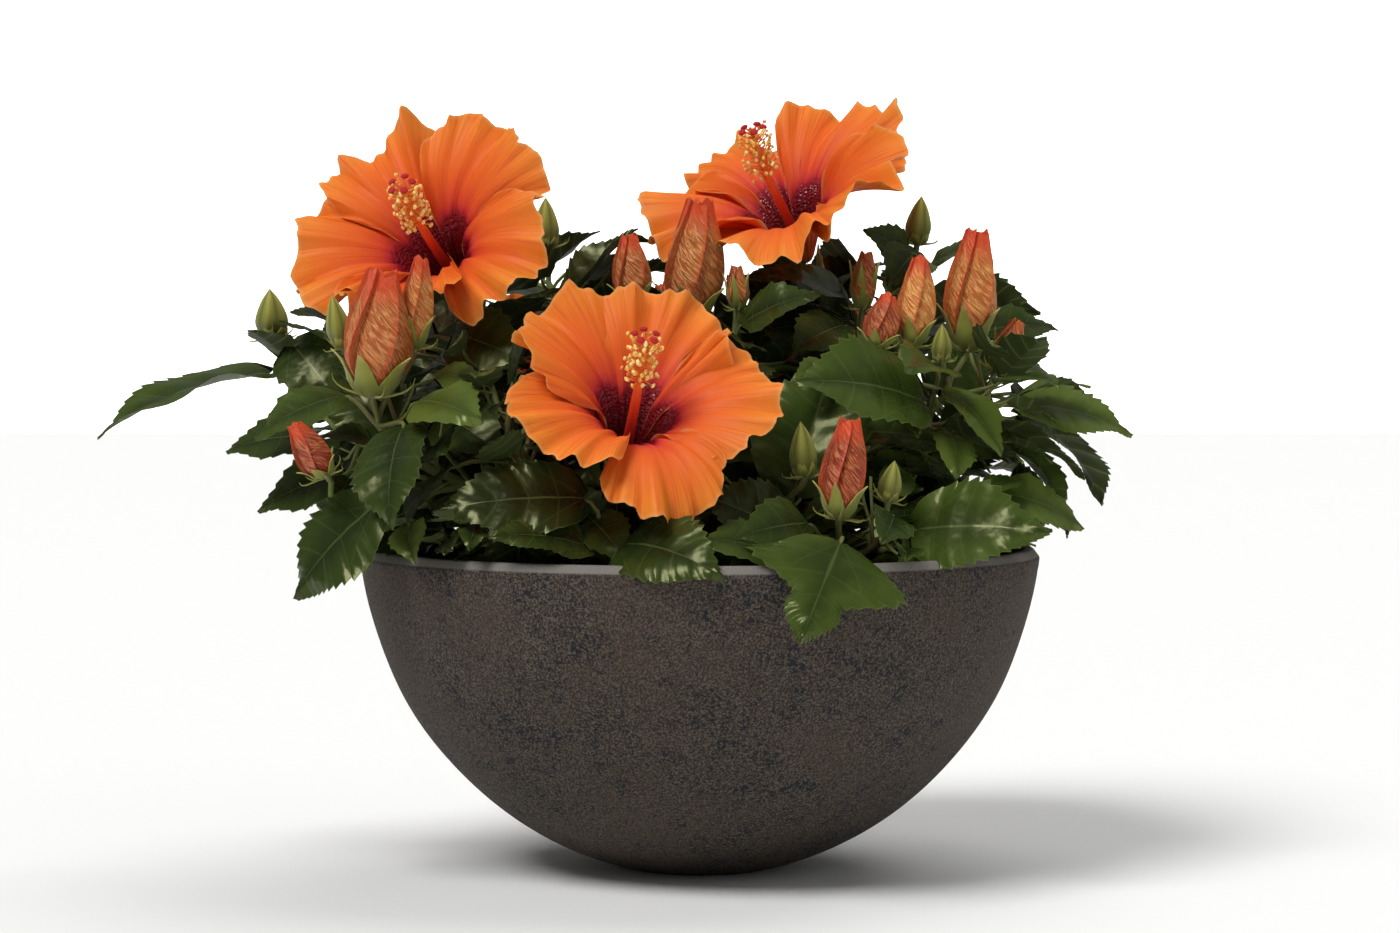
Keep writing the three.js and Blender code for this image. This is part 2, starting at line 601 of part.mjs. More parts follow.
BLOOMS.forEach((bloom) => {
  bloom.foot = vector(bloom.foot);
  bloom.axis = vector(bloom.facing).normalize();
  bloom.across = squareTo(UP, bloom.axis);
  bloom.over = bloom.axis.clone().cross(bloom.across);
  bloom.hanging = squareTo(new THREE.Vector3(0, Math.sign(bloom.axis.y), -1), bloom.axis);
  const carrier = shootNamed(bloom.shoot);
  const end = carrier.limbs[bloom.end].curve;
  const start = end.getPointAt(1).addScaledVector(end.getTangentAt(1), CLEAR);
  const back = bloom.foot.clone().addScaledVector(bloom.axis, -CALYX_LENGTH + 2);
  bloom.stalk = sweep(start, end.getTangentAt(1), back, bloom.axis);
  bloom.column = bloom.axis.clone().addScaledVector(UP, 0.12).normalize();
  takeLimb(bloom.stalk, 0, 1, BLOOM_STALK_RADII[1] + STALK_CLEARANCE, "bloom");
  const along = (direction, length) => bloom.foot.clone().addScaledVector(direction, length);
  for (let i = 0; i <= 8; i += 1) {
    take(along(bloom.column, (COLUMN_LENGTH * bloom.size * i) / 8), BLOOM_ROOM, "bloom");
  }
  [0.35, 0.7].forEach((share) => take(along(bloom.axis, -CALYX_LENGTH * share), BLOOM_ROOM, "bloom"));
  for (let petal = 0; petal < PETALS; petal += 1) {
    for (let i = 1; i <= 9; i += 1) {
      for (let j = -3; j <= 3; j += 1) {
        take(petalSpot(bloom, petal, i / 9.4, j / 3), PETAL_ROOM, "bloom");
      }
    }
  }
});

// An open bloom: its stalk, calyx, five overlapping petals and the column that stands out of them.
function makeBloom(bloom) {
  const solids = [limb(bloom.stalk, 0, 1, taper(...BLOOM_STALK_RADII), 5, 3)];
  solids.push(turned(CALYX, 7, bloom.foot.clone().addScaledVector(bloom.axis, -CALYX_LENGTH), bloom.axis));
  const column = COLUMN.map(([radius, share]) => [radius, share * COLUMN_LENGTH * bloom.size]);
  solids.push(turned(column, 6, bloom.foot, bloom.column));
  for (let petal = 0; petal < PETALS; petal += 1) {
    const rows = [0, 0.34, 0.68, 0.92, 1].map((along, i) => {
      const shares = i % 4 === 0 ? [0] : [-1, -0.5, 0, 0.5, 1];
      return shares.map((across) => petalSpot(bloom, petal, along, across));
    });
    solids.push(blade(rows, () => PETAL_THICKNESS));
  }
  return solids.reduce((whole, piece) => whole.add(piece));
}

// The buds: furled petals in a calyx, or a closed green calyx, on a stalk from the nearest limb.
BUDS.forEach(([name, foot, top, width, outline]) => {
  const shoot = shootNamed(name);
  const base = vector(foot);
  const tip = vector(top);
  const axis = tip.clone().sub(base).normalize();
  const length = tip.distanceTo(base);
  const profile = outline.map(([r, h]) => [r * width, h * length]);
  shoot.solids.push(turned([[0, 0], ...profile, [0, length]], 5, base, axis));
  const node = nearestNode(shoot, base);
  const stalk = sweep(node, UP, base.clone().addScaledVector(axis, 2), axis);
  shoot.solids.push(limb(stalk, 0, 1, () => BUD_STALK_RADIUS, 3, 2));
  takeLimb(stalk, 0, 1, BUD_STALK_RADIUS + STALK_CLEARANCE, name + "_bud");
  for (let i = 0; i <= 6; i += 1) {
    take(base.clone().lerp(tip, i / 6), width * 0.45 + 0.8, name + "_bud");
  }
});

// The leaves that stand out come first.
OUTSTANDING_LEAVES.forEach(([name, foot, tip, breadth, roll, bend, fold, lobe]) => {
  const shoot = shootNamed(name);
  const base = vector(foot);
  const leaf = leafBetween(base, vector(tip), breadth, ...[roll, bend, fold].map(degrees), lobe);
  addLeaf(shoot, leaf, nearestNode(shoot, base));
});

// The other leaves follow the golden angle along every limb. One that finds no room is left out.
function growLeaf(shoot, limbPlace, part, place, count) {
  const draw = seeded(shoot.seed * 10007 + limbPlace * 1009 + place * 101);
  const share = 0.08 + (0.9 * (place + 0.6)) / count;
  const node = part.curve.getPointAt(part.from + (1 - part.from) * Math.min(share, 0.97));
  const along = part.curve.getTangentAt(part.from + (1 - part.from) * Math.min(share, 0.97));
  const across = squareTo(new THREE.Vector3(0.31, 0.95, 0.05), along);
  const over = along.clone().cross(across);
  const outward = node.clone().setZ(0).normalize();
  for (let attempt = 0; attempt < LEAF_TRIES; attempt += 1) {
    const angle = place * GOLDEN_ANGLE + attempt * TRY_TURN + between(ANGLE_STRAY, draw());
    const young = 1.08 - 0.42 * share ** 3;
    const length = between(LEAF_LENGTHS, draw()) * young * (1 - TRY_SHORTER * attempt);
    const reach = between(STALK_LENGTHS, draw()) + TRY_FURTHER * attempt;
    const droop = between(LEAF_DROOPS, draw());
    const away = across.clone().multiplyScalar(Math.cos(angle)).addScaledVector(over, Math.sin(angle));
    away.addScaledVector(outward, 0.45).setZ(away.z * 0.5).normalize();
    const base = node.clone().addScaledVector(away, reach * 0.8).addScaledVector(along, reach * 0.5);
    const tip = base.clone().addScaledVector(away, length * Math.cos(droop));
    tip.addScaledVector(UP, -length * Math.sin(droop));
    const [breadth, roll, bend, fold] = [LEAF_BREADTHS, LEAF_ROLLS, LEAF_BENDS, LEAF_FOLDS].map((range) => {
      return between(range, draw());
    });
    const leaf = leafBetween(base, tip, breadth, roll, bend, fold, 0);
    const spots = leafBalls(leaf);
    const roomy = spots.every((spot) => {
      return clearOfBowl(spot, LEAF_OVER_BOWL) && insideCrown(spot) && isFree(spot, LEAF_CLEARANCE, "");
    });
    const passing = [0.25, 0.4, 0.6, 0.8, 1].every((reached) => {
      const spot = node.clone().lerp(base, reached);
      return clearOfBowl(spot, STALK_OVER_BOWL) && isFree(spot, STALK_RADIUS + STALK_CLEARANCE, shoot.name);
    });
    if (roomy && passing) {
      addLeaf(shoot, leaf, node);
      return;
    }
  }
}

SHOOTS.forEach((shoot) => {
  shoot.limbs.forEach((part, limbPlace) => {
    const count = Math.max(2, Math.round((part.curve.getLength() * (1 - part.from)) / LEAF_STEP));
    for (let place = 0; place < count; place += 1) {
      growLeaf(shoot, limbPlace, part, place, count);
    }
  });
});

// The whole plant in its bowl, each piece under its own name.
const group = new THREE.Group();
const POT_LOOK = { color: 0x3b3734, roughness: 0.8, metalness: 0 };
const SOIL_LOOK = { color: 0x2c211a, roughness: 0.95, metalness: 0 };
const BARK_LOOK = { color: 0x6b5f4a, roughness: 0.85, metalness: 0 };
const LEAF_LOOK = { color: 0x3c4a20, roughness: 0.5, metalness: 0 };
const PETAL_LOOK = { color: 0xe1702c, roughness: 0.6, metalness: 0 };
group.add(toMesh("bowl", makeBowl(), POT_LOOK));
group.add(toMesh("soil", makeSoil(), SOIL_LOOK));
group.add(toMesh("trunk", limb(trunkCurve, 0, 1, trunkRadius, 10, 8), BARK_LOOK));
const trunkRoom = limb(trunkCurve, 0, 1, (share) => trunkRadius(share) + CLEAR + 0.2, 10, 8);
SHOOTS.forEach((shoot) => {
  const whole = limb(shoot.curve, shoot.from, BOUGH_SHARE, taper(BOUGH_ROOT_RADIUS, BOUGH_TIP_RADIUS), 6, 4);
  const bough = shoot.tier === undefined ? whole : whole.subtract(trunkRoom);
  group.add(toMesh("bough_" + shoot.name, bough, BARK_LOOK));
});
SHOOTS.forEach((shoot) => {
  const mass = shoot.solids.reduce((whole, piece) => whole.add(piece));
  group.add(toMesh("shoot_" + shoot.name, mass, LEAF_LOOK));
});
BLOOMS.forEach((bloom) => {
  group.add(toMesh("bloom_" + bloom.name, makeBloom(bloom), PETAL_LOOK));
});

export default group;
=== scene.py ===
import math
from functools import lru_cache

import bpy
import numpy as np
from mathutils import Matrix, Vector


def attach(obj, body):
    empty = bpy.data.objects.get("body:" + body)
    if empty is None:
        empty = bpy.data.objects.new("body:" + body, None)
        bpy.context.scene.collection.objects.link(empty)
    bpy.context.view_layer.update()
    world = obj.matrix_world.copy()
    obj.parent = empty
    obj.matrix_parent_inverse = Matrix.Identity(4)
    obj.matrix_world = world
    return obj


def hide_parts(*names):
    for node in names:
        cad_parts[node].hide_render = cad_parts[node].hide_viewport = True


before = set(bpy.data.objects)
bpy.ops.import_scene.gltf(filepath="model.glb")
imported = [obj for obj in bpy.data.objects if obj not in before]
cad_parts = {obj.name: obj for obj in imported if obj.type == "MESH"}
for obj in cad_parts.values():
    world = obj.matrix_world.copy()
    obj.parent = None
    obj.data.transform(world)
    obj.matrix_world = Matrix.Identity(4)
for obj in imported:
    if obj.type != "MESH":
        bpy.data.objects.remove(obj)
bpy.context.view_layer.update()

# The bowl is a wide round planter, cast in one piece from resin and stone powder, with a flat foot.
# Its unglazed skin is finely grained and flecked blue-black, and the bevelled lip is paler: partly a
# smoother, unspeckled skin and partly a painted highlight where the lip catches light from above.
# Sizes are in millimetres, as in the part's own drawing, and become metres in the mesh.
MM = 0.001
BOWL_SIDES = 192
BOWL_HEIGHT = 142
BULGE_RADIUS = 151
BULGE_RISE = 159.8
BULGE_CENTRE = 156.4
BEVEL_START = 138.1
BEVEL_INSET = 3
LIP_EASE = 0.9
WALL = 7
FLOOR = 8
SKIN_WAVE = 0.2


def linear(colour):
    """An sRGB hex colour as linear red, green, blue and a full alpha."""
    shares = [int(colour[i : i + 2], 16) / 255 for i in (0, 2, 4)]
    return [c / 12.92 if c <= 0.04045 else ((c + 0.055) / 1.055) ** 2.4 for c in shares] + [1.0]


def socket(sockets, name):
    """A node's socket by its identifier, or else by its name."""
    return next((s for s in sockets if s.identifier == name), None) or sockets.get(name)


def feed(node, links):
    """Links a node's inputs, each from a socket or from a node's first live output."""
    for name, source in links.items():
        if isinstance(source, bpy.types.Node):
            source = next(output for output in source.outputs if output.enabled)
        node.id_data.links.new(source, socket(node.inputs, name))


def add_node(tree, kind, settings=(), links=()):
    """Adds a node. Settings are its properties, inputs or ramp stops, colours in hex. Links feed it."""
    node = tree.nodes.new(kind)
    for name, value in dict(settings).items():
        if name == "stops":
            for _ in value[2:]:
                node.color_ramp.elements.new(0.5)
            for element, (share, colour) in zip(node.color_ramp.elements, value):
                element.position = share
                element.color = linear(colour)
        elif hasattr(node, name):
            setattr(node, name, value)
        else:
            entry = socket(node.inputs, name)
            entry.default_value = linear(value) if entry.type == "RGBA" else value
    feed(node, dict(links))
    return node


def new_material(name, settings):
    """A material with one surface shader. Returns the material, its tree and the shader."""
    material = bpy.data.materials.new(name)
    material.use_nodes = True
    tree = material.node_tree
    tree.nodes.clear()
    shader = add_node(tree, "ShaderNodeBsdfPrincipled", settings)
    add_node(tree, "ShaderNodeOutputMaterial", links={"Surface": shader.outputs["BSDF"]})
    return material, tree, shader


@lru_cache(maxsize=None)
def lattice(rows, columns, closed=False):
    """Triangles of a net of rows and columns, closed round the columns where asked."""
    wide = columns if closed else columns - 1
    i, j = np.meshgrid(np.arange(rows - 1), np.arange(wide), indexing="ij")
    a = (i * columns + j).ravel()
    b = (i * columns + (j + 1) % columns).ravel()
    c, d = a + columns, b + columns
    return np.concatenate([np.stack([a, b, d], 1), np.stack([a, d, c], 1)])


@lru_cache(maxsize=None)
def capped(rings, sides):
    """Triangles of a round body of rings, closed at both ends by a middle spot that follows the rings."""
    last = (rings - 1) * sides
    first = np.arange(sides)
    after = np.roll(first, -1)
    foot = np.stack([np.full(sides, rings * sides), after, first], 1)
    top = np.stack([np.full(sides, rings * sides + 1), first + last, after + last], 1)
    return np.concatenate([lattice(rings, sides, True), foot, top])


class Bundle:
    """Closed shapes gathered into one piece, with a finish for each face and named values for each spot."""

    def __init__(self):
        self.spots, self.faces, self.slots, self.values, self.count = [], [], [], {}, 0

    def add(self, spots, faces, slots=0, **values):
        """Adds one shape."""
        self.spots.append(spots)
        self.faces.append(faces + self.count)
        self.slots.append(np.broadcast_to(slots, len(faces)))
        for name, value in values.items():
            self.values.setdefault(name, []).append(np.broadcast_to(value, len(spots)))
        self.count += len(spots)

    def add_round(self, rings, ends, slots=0, **values):
        """Adds one round shape from its rings of spots and the two spots that close its ends."""
        spots = np.concatenate([np.reshape(rings, (-1, 3)), ends])
        self.add(spots, capped(len(rings), len(rings[0])), slots, **values)

    def piece(self, name, materials, sharp=60):
        """The gathered shapes as one object, smooth but for edges sharper than an angle in degrees."""
        mesh = bpy.data.meshes.new(name)
        mesh.from_pydata(np.concatenate(self.spots) * MM, [], np.concatenate(self.faces))
        for material in materials:
            mesh.materials.append(material)
        mesh.polygons.foreach_set("material_index", np.concatenate(self.slots).astype(np.int32))
        for value_name, value in self.values.items():
            layer = mesh.attributes.new(value_name, "FLOAT", "POINT")
            layer.data.foreach_set("value", np.concatenate(value).astype(np.float32))
        mesh.shade_smooth()
        mesh.set_sharp_from_angle(angle=math.radians(sharp))
        thing = bpy.data.objects.new(name, mesh)
        bpy.context.scene.collection.objects.link(thing)
        return thing


def settle(thing, nodes):
    """The piece rides on the one body, and the solids it stands for are hidden."""
    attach(thing, "root")
    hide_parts(*nodes)


def wall_radius(height, depth):
    """The bowl's round wall at a height, set in from its outside by a depth."""
    share = (BULGE_CENTRE - height) / (BULGE_RISE - depth)
    return (BULGE_RADIUS - depth) * np.sqrt(np.maximum(0, 1 - share * share))


def wall_arc(depth, low, high, steps):
    """Pairs of radius and height along that wall between two heights, evenly round the arc."""
    rise = BULGE_RISE - depth
    turn = np.linspace(*(math.asin((BULGE_CENTRE - height) / rise) for height in (low, high)), steps + 1)
    return np.stack([(BULGE_RADIUS - depth) * np.cos(turn), BULGE_CENTRE - rise * np.sin(turn)], 1)


def eased(corners, radius):
    """A row of pairs whose inner corners are rounded off."""
    row = [corners[0]]
    for before, corner, after in zip(corners, corners[1:], corners[2:]):
        arms = [(end - corner) / np.linalg.norm(end - corner) * radius for end in (before, after)]
        row += [corner + arms[0] * (1 - t) ** 2 + arms[1] * t * t for t in np.linspace(0, 1, 4)]
    return np.array(row + [corners[-1]])


def turned(profile, sides):
    """Spots of a round upright body from pairs of radius and height, with the two middle spots last."""
    angle = np.arange(sides) * 2 * math.pi / sides
    radius, height = np.repeat(profile, sides, 0).T
    angle = np.tile(angle, len(profile))
    ring = np.stack([radius * np.cos(angle), radius * np.sin(angle), height], 1)
    return np.concatenate([ring, [[0, 0, profile[0][1]], [0, 0, profile[-1][1]]]])


LIP_HEIGHTS = (BEVEL_START - 4, BEVEL_START)
lip = [[wall_radius(height, 0), height] for height in LIP_HEIGHTS]
lip.append([wall_radius(BEVEL_START, 0) - BEVEL_INSET, BOWL_HEIGHT])
lip += [[wall_radius(height, WALL), height] for height in (BOWL_HEIGHT, BOWL_HEIGHT - 4)]
outside = wall_arc(0, 0, LIP_HEIGHTS[0] - 1, 60)
inside = wall_arc(WALL, FLOOR, BOWL_HEIGHT - 5, 24)[::-1]
bowl_profile = np.concatenate([outside, eased(np.array(lip), LIP_EASE), inside])
bowl_spots = turned(bowl_profile, BOWL_SIDES)
turn = np.arctan2(bowl_spots[:, 1], bowl_spots[:, 0])
height = bowl_spots[:, 2]
wave = np.sin(5 * turn + 0.045 * height) + np.sin(9 * turn - 0.06 * height + 1)
wave = wave + np.sin(0.11 * height + 2 * turn)
bulging = (height > FLOOR) & (height < LIP_HEIGHTS[0])
bowl_spots[:, :2] *= 1 + (SKIN_WAVE * wave * bulging / BULGE_RADIUS)[:, None]

# Cast resin with stone powder is dull and dark grey-brown, pitted with a grain of about a millimetre, as
# fine as the render can show. Blue-black specks lie all over, and closer in some stretches of the wall.
GRAIN = 0.9 * MM
FLECK = 1.7 * MM
FLECK_CLUSTER = 11 * MM
FLECK_STRETCH = 50 * MM
stone, tree, shader = new_material("cast_stone_resin", {"Roughness": 0.8, "Specular IOR Level": 0.25})
place = add_node(tree, "ShaderNodeTexCoord").outputs["Object"]
grain, fleck, cluster, stretch = (
    add_node(
        tree, "ShaderNodeTexNoise", {"Scale": 1 / size, "Detail": detail, "Roughness": 0.6},
        {"Vector": place},
    )
    for size, detail in ((GRAIN, 2.0), (FLECK, 1.0), (FLECK_CLUSTER, 1.0), (FLECK_STRETCH, 2.0))
)
skin = add_node(
    tree, "ShaderNodeValToRGB", {"stops": [(0.36, "1f1a17"), (0.5, "3d3630"), (0.64, "61574e")]},
    {"Fac": grain},
)
rusty = add_node(
    tree, "ShaderNodeMapRange", {"From Min": 0.56, "From Max": 0.36, "To Max": 0.35}, {"Value": stretch},
)
patched = add_node(
    tree, "ShaderNodeMix", {"data_type": "RGBA", "B_Color": "483b31"},
    {"Factor_Float": rusty, "A_Color": skin},
)
crowded = add_node(
    tree, "ShaderNodeMath", {"operation": "MULTIPLY_ADD", "Value_001": 0.5},
    {"Value": cluster, "Value_002": fleck},
)
flecks = add_node(
    tree, "ShaderNodeMath", {"operation": "MULTIPLY_ADD", "Value_001": 0.35},
    {"Value": stretch, "Value_002": crowded},
)
flecked = add_node(
    tree, "ShaderNodeMapRange", {"From Min": 1.065, "From Max": 1.115, "To Max": 0.9}, {"Value": flecks},
)
dark = add_node(
    tree, "ShaderNodeMix", {"data_type": "RGBA", "B_Color": "0d1822"},
    {"Factor_Float": flecked, "A_Color": patched},
)
level = add_node(tree, "ShaderNodeSeparateXYZ", links={"Vector": place})
# From the bevel up the skin is mixed towards pale grey: partly the lip's own smoother, paler skin, partly a
# painted highlight where the lip catches light from above.
paler_lip_and_highlight = add_node(
    tree, "ShaderNodeMapRange",
    {"From Min": (BEVEL_START + 0.2) * MM, "From Max": (BEVEL_START + 1.0) * MM, "To Max": 0.75},
    {"Value": level.outputs["Z"]},
)
skin_with_pale_lit_lip = add_node(
    tree, "ShaderNodeMix", {"data_type": "RGBA", "B_Color": "8b8680"},
    {"Factor_Float": paler_lip_and_highlight, "A_Color": dark},
)
pebbled = add_node(tree, "ShaderNodeBump", {"Strength": 0.8, "Distance": 0.5 * MM}, {"Height": grain})
feed(shader, {"Base Color": skin_with_pale_lit_lip, "Normal": pebbled})

bowl_bundle = Bundle()
bowl_bundle.add(bowl_spots, capped(len(bowl_profile), BOWL_SIDES))
settle(bowl_bundle.piece("bowl_skin", [stone], 45), ["bowl"])

# The soil is damp potting compost, a body that fills the bowl to just under the lip, with crumbs lying on it.
# It lies level round the stem and dips a little towards the wall.
CLEAR = 0.3
SOIL_SIDES = 120
SOIL_EDGE = 119
SOIL_LEVEL = 122
SOIL_FLAT = 34
SOIL_RELIEF = 0.9
CRUMB_SIZES = (1.2, 3.6)
CRUMBS_PER_SQUARE_METRE = 30000.0
soil_side = wall_arc(WALL + CLEAR, FLOOR + CLEAR, SOIL_EDGE, 12)
soil_run = np.linspace(soil_side[-1][0], 2, 40)[1:]
soil_rise = np.interp(soil_run, [SOIL_FLAT, soil_side[-1][0]], [SOIL_LEVEL, SOIL_EDGE])
soil_top = np.stack([soil_run, soil_rise], 1)
soil_profile = np.concatenate([soil_side, soil_top])
soil_spots = turned(soil_profile, SOIL_SIDES)
x, y, height = soil_spots.T
lumpy = np.sin(0.31 * x + 1.3 * np.sin(0.17 * y)) * np.sin(0.27 * y + 1.1 * np.sin(0.21 * x))
inner = np.clip((soil_side[-1][0] - 1 - np.hypot(x, y)) / 6, 0, 1) * (height > SOIL_EDGE - 1)
soil_spots[:, 2] += SOIL_RELIEF * (lumpy - 0.9) * inner

# Damp compost is nearly black brown and dull, broken by fibre and bark a few millimetres long.
CRUMB_GRAIN = 2.5 * MM
compost, tree, shader = new_material("damp_compost", {"Roughness": 0.92, "Specular IOR Level": 0.25})
place = add_node(tree, "ShaderNodeTexCoord").outputs["Object"]
fibre = add_node(tree, "ShaderNodeTexNoise", {"Scale": 1 / CRUMB_GRAIN, "Detail": 6.0}, {"Vector": place})
earth = add_node(
    tree, "ShaderNodeValToRGB", {"stops": [(0.3, "160f0b"), (0.52, "2c211a"), (0.75, "4d3b2c")]},
    {"Fac": fibre},
)
rough = add_node(tree, "ShaderNodeBump", {"Strength": 0.8, "Distance": 1 * MM}, {"Height": fibre})
feed(shader, {"Base Color": earth, "Normal": rough})
soil_bundle = Bundle()
soil_bundle.add(soil_spots, capped(len(soil_profile), SOIL_SIDES))
soil_bed = soil_bundle.piece("soil_bed", [compost])
settle(soil_bed, ["soil"])


def new_rule(name, inputs):
    """An empty node tree for geometry with named inputs, each given as a name and a kind of socket."""
    rule = bpy.data.node_groups.new(name, "GeometryNodeTree")
    rule.interface.new_socket("Geometry", in_out="INPUT", socket_type="NodeSocketGeometry")
    for socket_name, kind in inputs:
        rule.interface.new_socket(socket_name, in_out="INPUT", socket_type=kind)
    rule.interface.new_socket("Geometry", in_out="OUTPUT", socket_type="NodeSocketGeometry")
    return rule, add_node(rule, "NodeGroupInput"), add_node(rule, "NodeGroupOutput")


def grown(name, source_mesh, rule, inputs):
    """A plain mesh object of what a rule makes on a mesh, with the rule's inputs set by name."""
    thing = bpy.data.objects.new(name, source_mesh)
    bpy.context.scene.collection.objects.link(thing)
    modifier = thing.modifiers.new(name, "NODES")
    modifier.node_group = rule
    for item in rule.interface.items_tree:
        if item.in_out == "INPUT" and item.name in inputs:
            modifier[item.identifier] = inputs[item.name]
    evaluated = thing.evaluated_get(bpy.context.evaluated_depsgraph_get())
    mesh = bpy.data.meshes.new_from_object(evaluated)
    thing.modifiers.remove(modifier)
    thing.data = mesh
    mesh.name = name
    return thing


# Crumbs: small lumps of the same compost, which lie loose on the soil. A rule strews them on the upward
# faces, turns and stretches each one by chance and then roughens it.
rule, given, result = new_rule(
    "strewn_crumbs",
    [
        ("Per Square Metre", "NodeSocketFloat"), ("Least", "NodeSocketFloat"), ("Most", "NodeSocketFloat"),
        ("Seed", "NodeSocketInt"), ("Finish", "NodeSocketMaterial"),
    ],
)
facing = add_node(rule, "GeometryNodeInputNormal")
upright = add_node(rule, "ShaderNodeSeparateXYZ", links={"Vector": facing})
upward = add_node(
    rule, "FunctionNodeCompare", {"operation": "GREATER_THAN", "B": 0.7}, {"A": upright.outputs["Z"]},
)
strewn = add_node(
    rule, "GeometryNodeDistributePointsOnFaces",
    links={
        "Mesh": given.outputs["Geometry"], "Selection": upward,
        "Density": given.outputs["Per Square Metre"], "Seed": given.outputs["Seed"],
    },
)
lump = add_node(rule, "GeometryNodeMeshIcoSphere", {"Radius": 0.5, "Subdivisions": 1})
size = add_node(
    rule, "FunctionNodeRandomValue",
    links={
        "Min_001": given.outputs["Least"], "Max_001": given.outputs["Most"], "Seed": given.outputs["Seed"],
    },
)
stretched = add_node(
    rule, "FunctionNodeRandomValue",
    {"data_type": "FLOAT_VECTOR", "Min": (0.5, 0.5, 0.4), "Max": (1.4, 1.0, 0.8)},
    {"Seed": given.outputs["Seed"]},
)
sized = add_node(rule, "ShaderNodeVectorMath", {"operation": "SCALE"}, {"Vector": stretched, "Scale": size})
tumbled = add_node(
    rule, "FunctionNodeRandomValue",
    {"data_type": "FLOAT_VECTOR", "Min": (0, 0, 0), "Max": (6.28, 6.28, 6.28)},
    {"Seed": given.outputs["Seed"]},
)
lumps = add_node(
    rule, "GeometryNodeInstanceOnPoints",
    links={"Points": strewn, "Instance": lump, "Rotation": tumbled, "Scale": sized},
)
solid = add_node(rule, "GeometryNodeRealizeInstances", links={"Geometry": lumps})
worn_away = add_node(rule, "ShaderNodeTexNoise", {"Scale": 0.5 / CRUMB_GRAIN, "Detail": 1.0})
pushed = add_node(
    rule, "ShaderNodeVectorMath",
    {"operation": "MULTIPLY_ADD", "Vector_001": (2 * MM,) * 3, "Vector_002": (-1 * MM,) * 3},
    {"Vector": worn_away.outputs["Color"]},
)
ragged = add_node(rule, "GeometryNodeSetPosition", links={"Geometry": solid, "Offset": pushed})
finished = add_node(
    rule, "GeometryNodeSetMaterial", links={"Geometry": ragged, "Material": given.outputs["Finish"]},
)
feed(result, {"Geometry": finished})
crumbs = grown(
    "soil_crumbs", soil_bed.data, rule,
    {
        "Per Square Metre": CRUMBS_PER_SQUARE_METRE, "Least": CRUMB_SIZES[0] * MM,
        "Most": CRUMB_SIZES[1] * MM, "Seed": 7, "Finish": compost,
    },
)
settle(crumbs, ["soil"])

# The trunk is a short woody stem with a flare at the soil, and its boughs spring from it in three tiers.
# Each is a tapering limb in grey-brown bark, and the last bough carries the trunk on upward.
UP = np.array([0.0, 0.0, 1.0])
TRUNK_FOOT = np.array([4, 3, SOIL_LEVEL + CLEAR])
TRUNK_TOP = np.array([-4, -1, 172])
TRUNK_RADII = (9.5, 5.5)
FLARE = 4.5
FLARE_FADE = 7
BOUGH_TIERS = (0.3, 0.52, 0.74)
BOUGH_SHARE = 0.42
BOUGH_LIFT = 0.55
BOUGH_RADII = (3.8, 2.7)
COLLAR = 0.45
COLLAR_FADE = 14
BARK_RIDGE = 0.07
TRUNK_RINGS = 70
TRUNK_SIDES = 48
BOUGH_RINGS = 44
BOUGH_SIDES = 22
SHOOTS = {
    "left_front": (1, (-136, -78, 198), 1.2, [(-108, -58, 146), (-157, -70, 168), (-164, -44, 204)]),
    "left_back": (0, (-108, 16, 226), 1.6, [(-118, -10, 148), (-184, 8, 222), (-140, 40, 196)]),
    "front_left": (
        2, (-84, -80, 190), 1.0, [(-76, -92, 145), (-104, -96, 160), (-94, -44, 230), (-62, -54, 212)],
    ),
    "front_middle": (0, (-40, -54, 152), 0.9, [(-38, -98, 140), (-2, -104, 144), (-58, -76, 146)]),
    "front_right": (0, (58, -106, 149), 1.1, [(34, -84, 160), (78, -94, 153), (16, -82, 148)]),
    "right_low": (1, (100, -78, 152), 0.7, [(52, -56, 188), (118, -38, 150), (78, -40, 160)]),
    "right": (2, (108, -34, 212), 1.5, [(84, 4, 172), (126, -20, 206), (88, -44, 216)]),
    "back_right": (0, (97, 46, 262), 1.3, [(60, 52, 238), (72, 10, 230), (128, 30, 206)]),
    "back_low": (1, (88, 92, 186), 0.9, [(52, 88, 176), (122, 66, 164), (112, 24, 150)]),
    "back_middle": (0, (-14, 92, 214), 1.2, [(16, 108, 150), (26, 74, 232), (-26, 120, 168)]),
    "back_left": (2, (-69, 40, 260), 1.6, [(-78, 84, 176), (-118, 88, 172), (-112, 58, 150)]),
    "centre": (None, (-8, -3, 224), 2.0, [(-28, -14, 230), (16, -11, 230), (-30, 26, 206)]),
}


def unit(vector):
    """A vector, or each of a row of vectors, at length one."""
    return vector / np.linalg.norm(vector, axis=-1, keepdims=True)


def square_to(wanted, axis):
    """The part of one direction that lies square to another, at length one."""
    return unit(wanted - axis * (wanted @ axis))


def upright_frame(axis):
    """Two directions square to an axis and to each other."""
    across = square_to(np.array([0.31, 0.95, 0.05]), axis)
    return across, np.cross(axis, across)


def ring_ways(turn, across, over):
    """Directions at angles round an axis, given two that are square to it."""
    return np.cos(turn)[..., None] * across + np.sin(turn)[..., None] * over


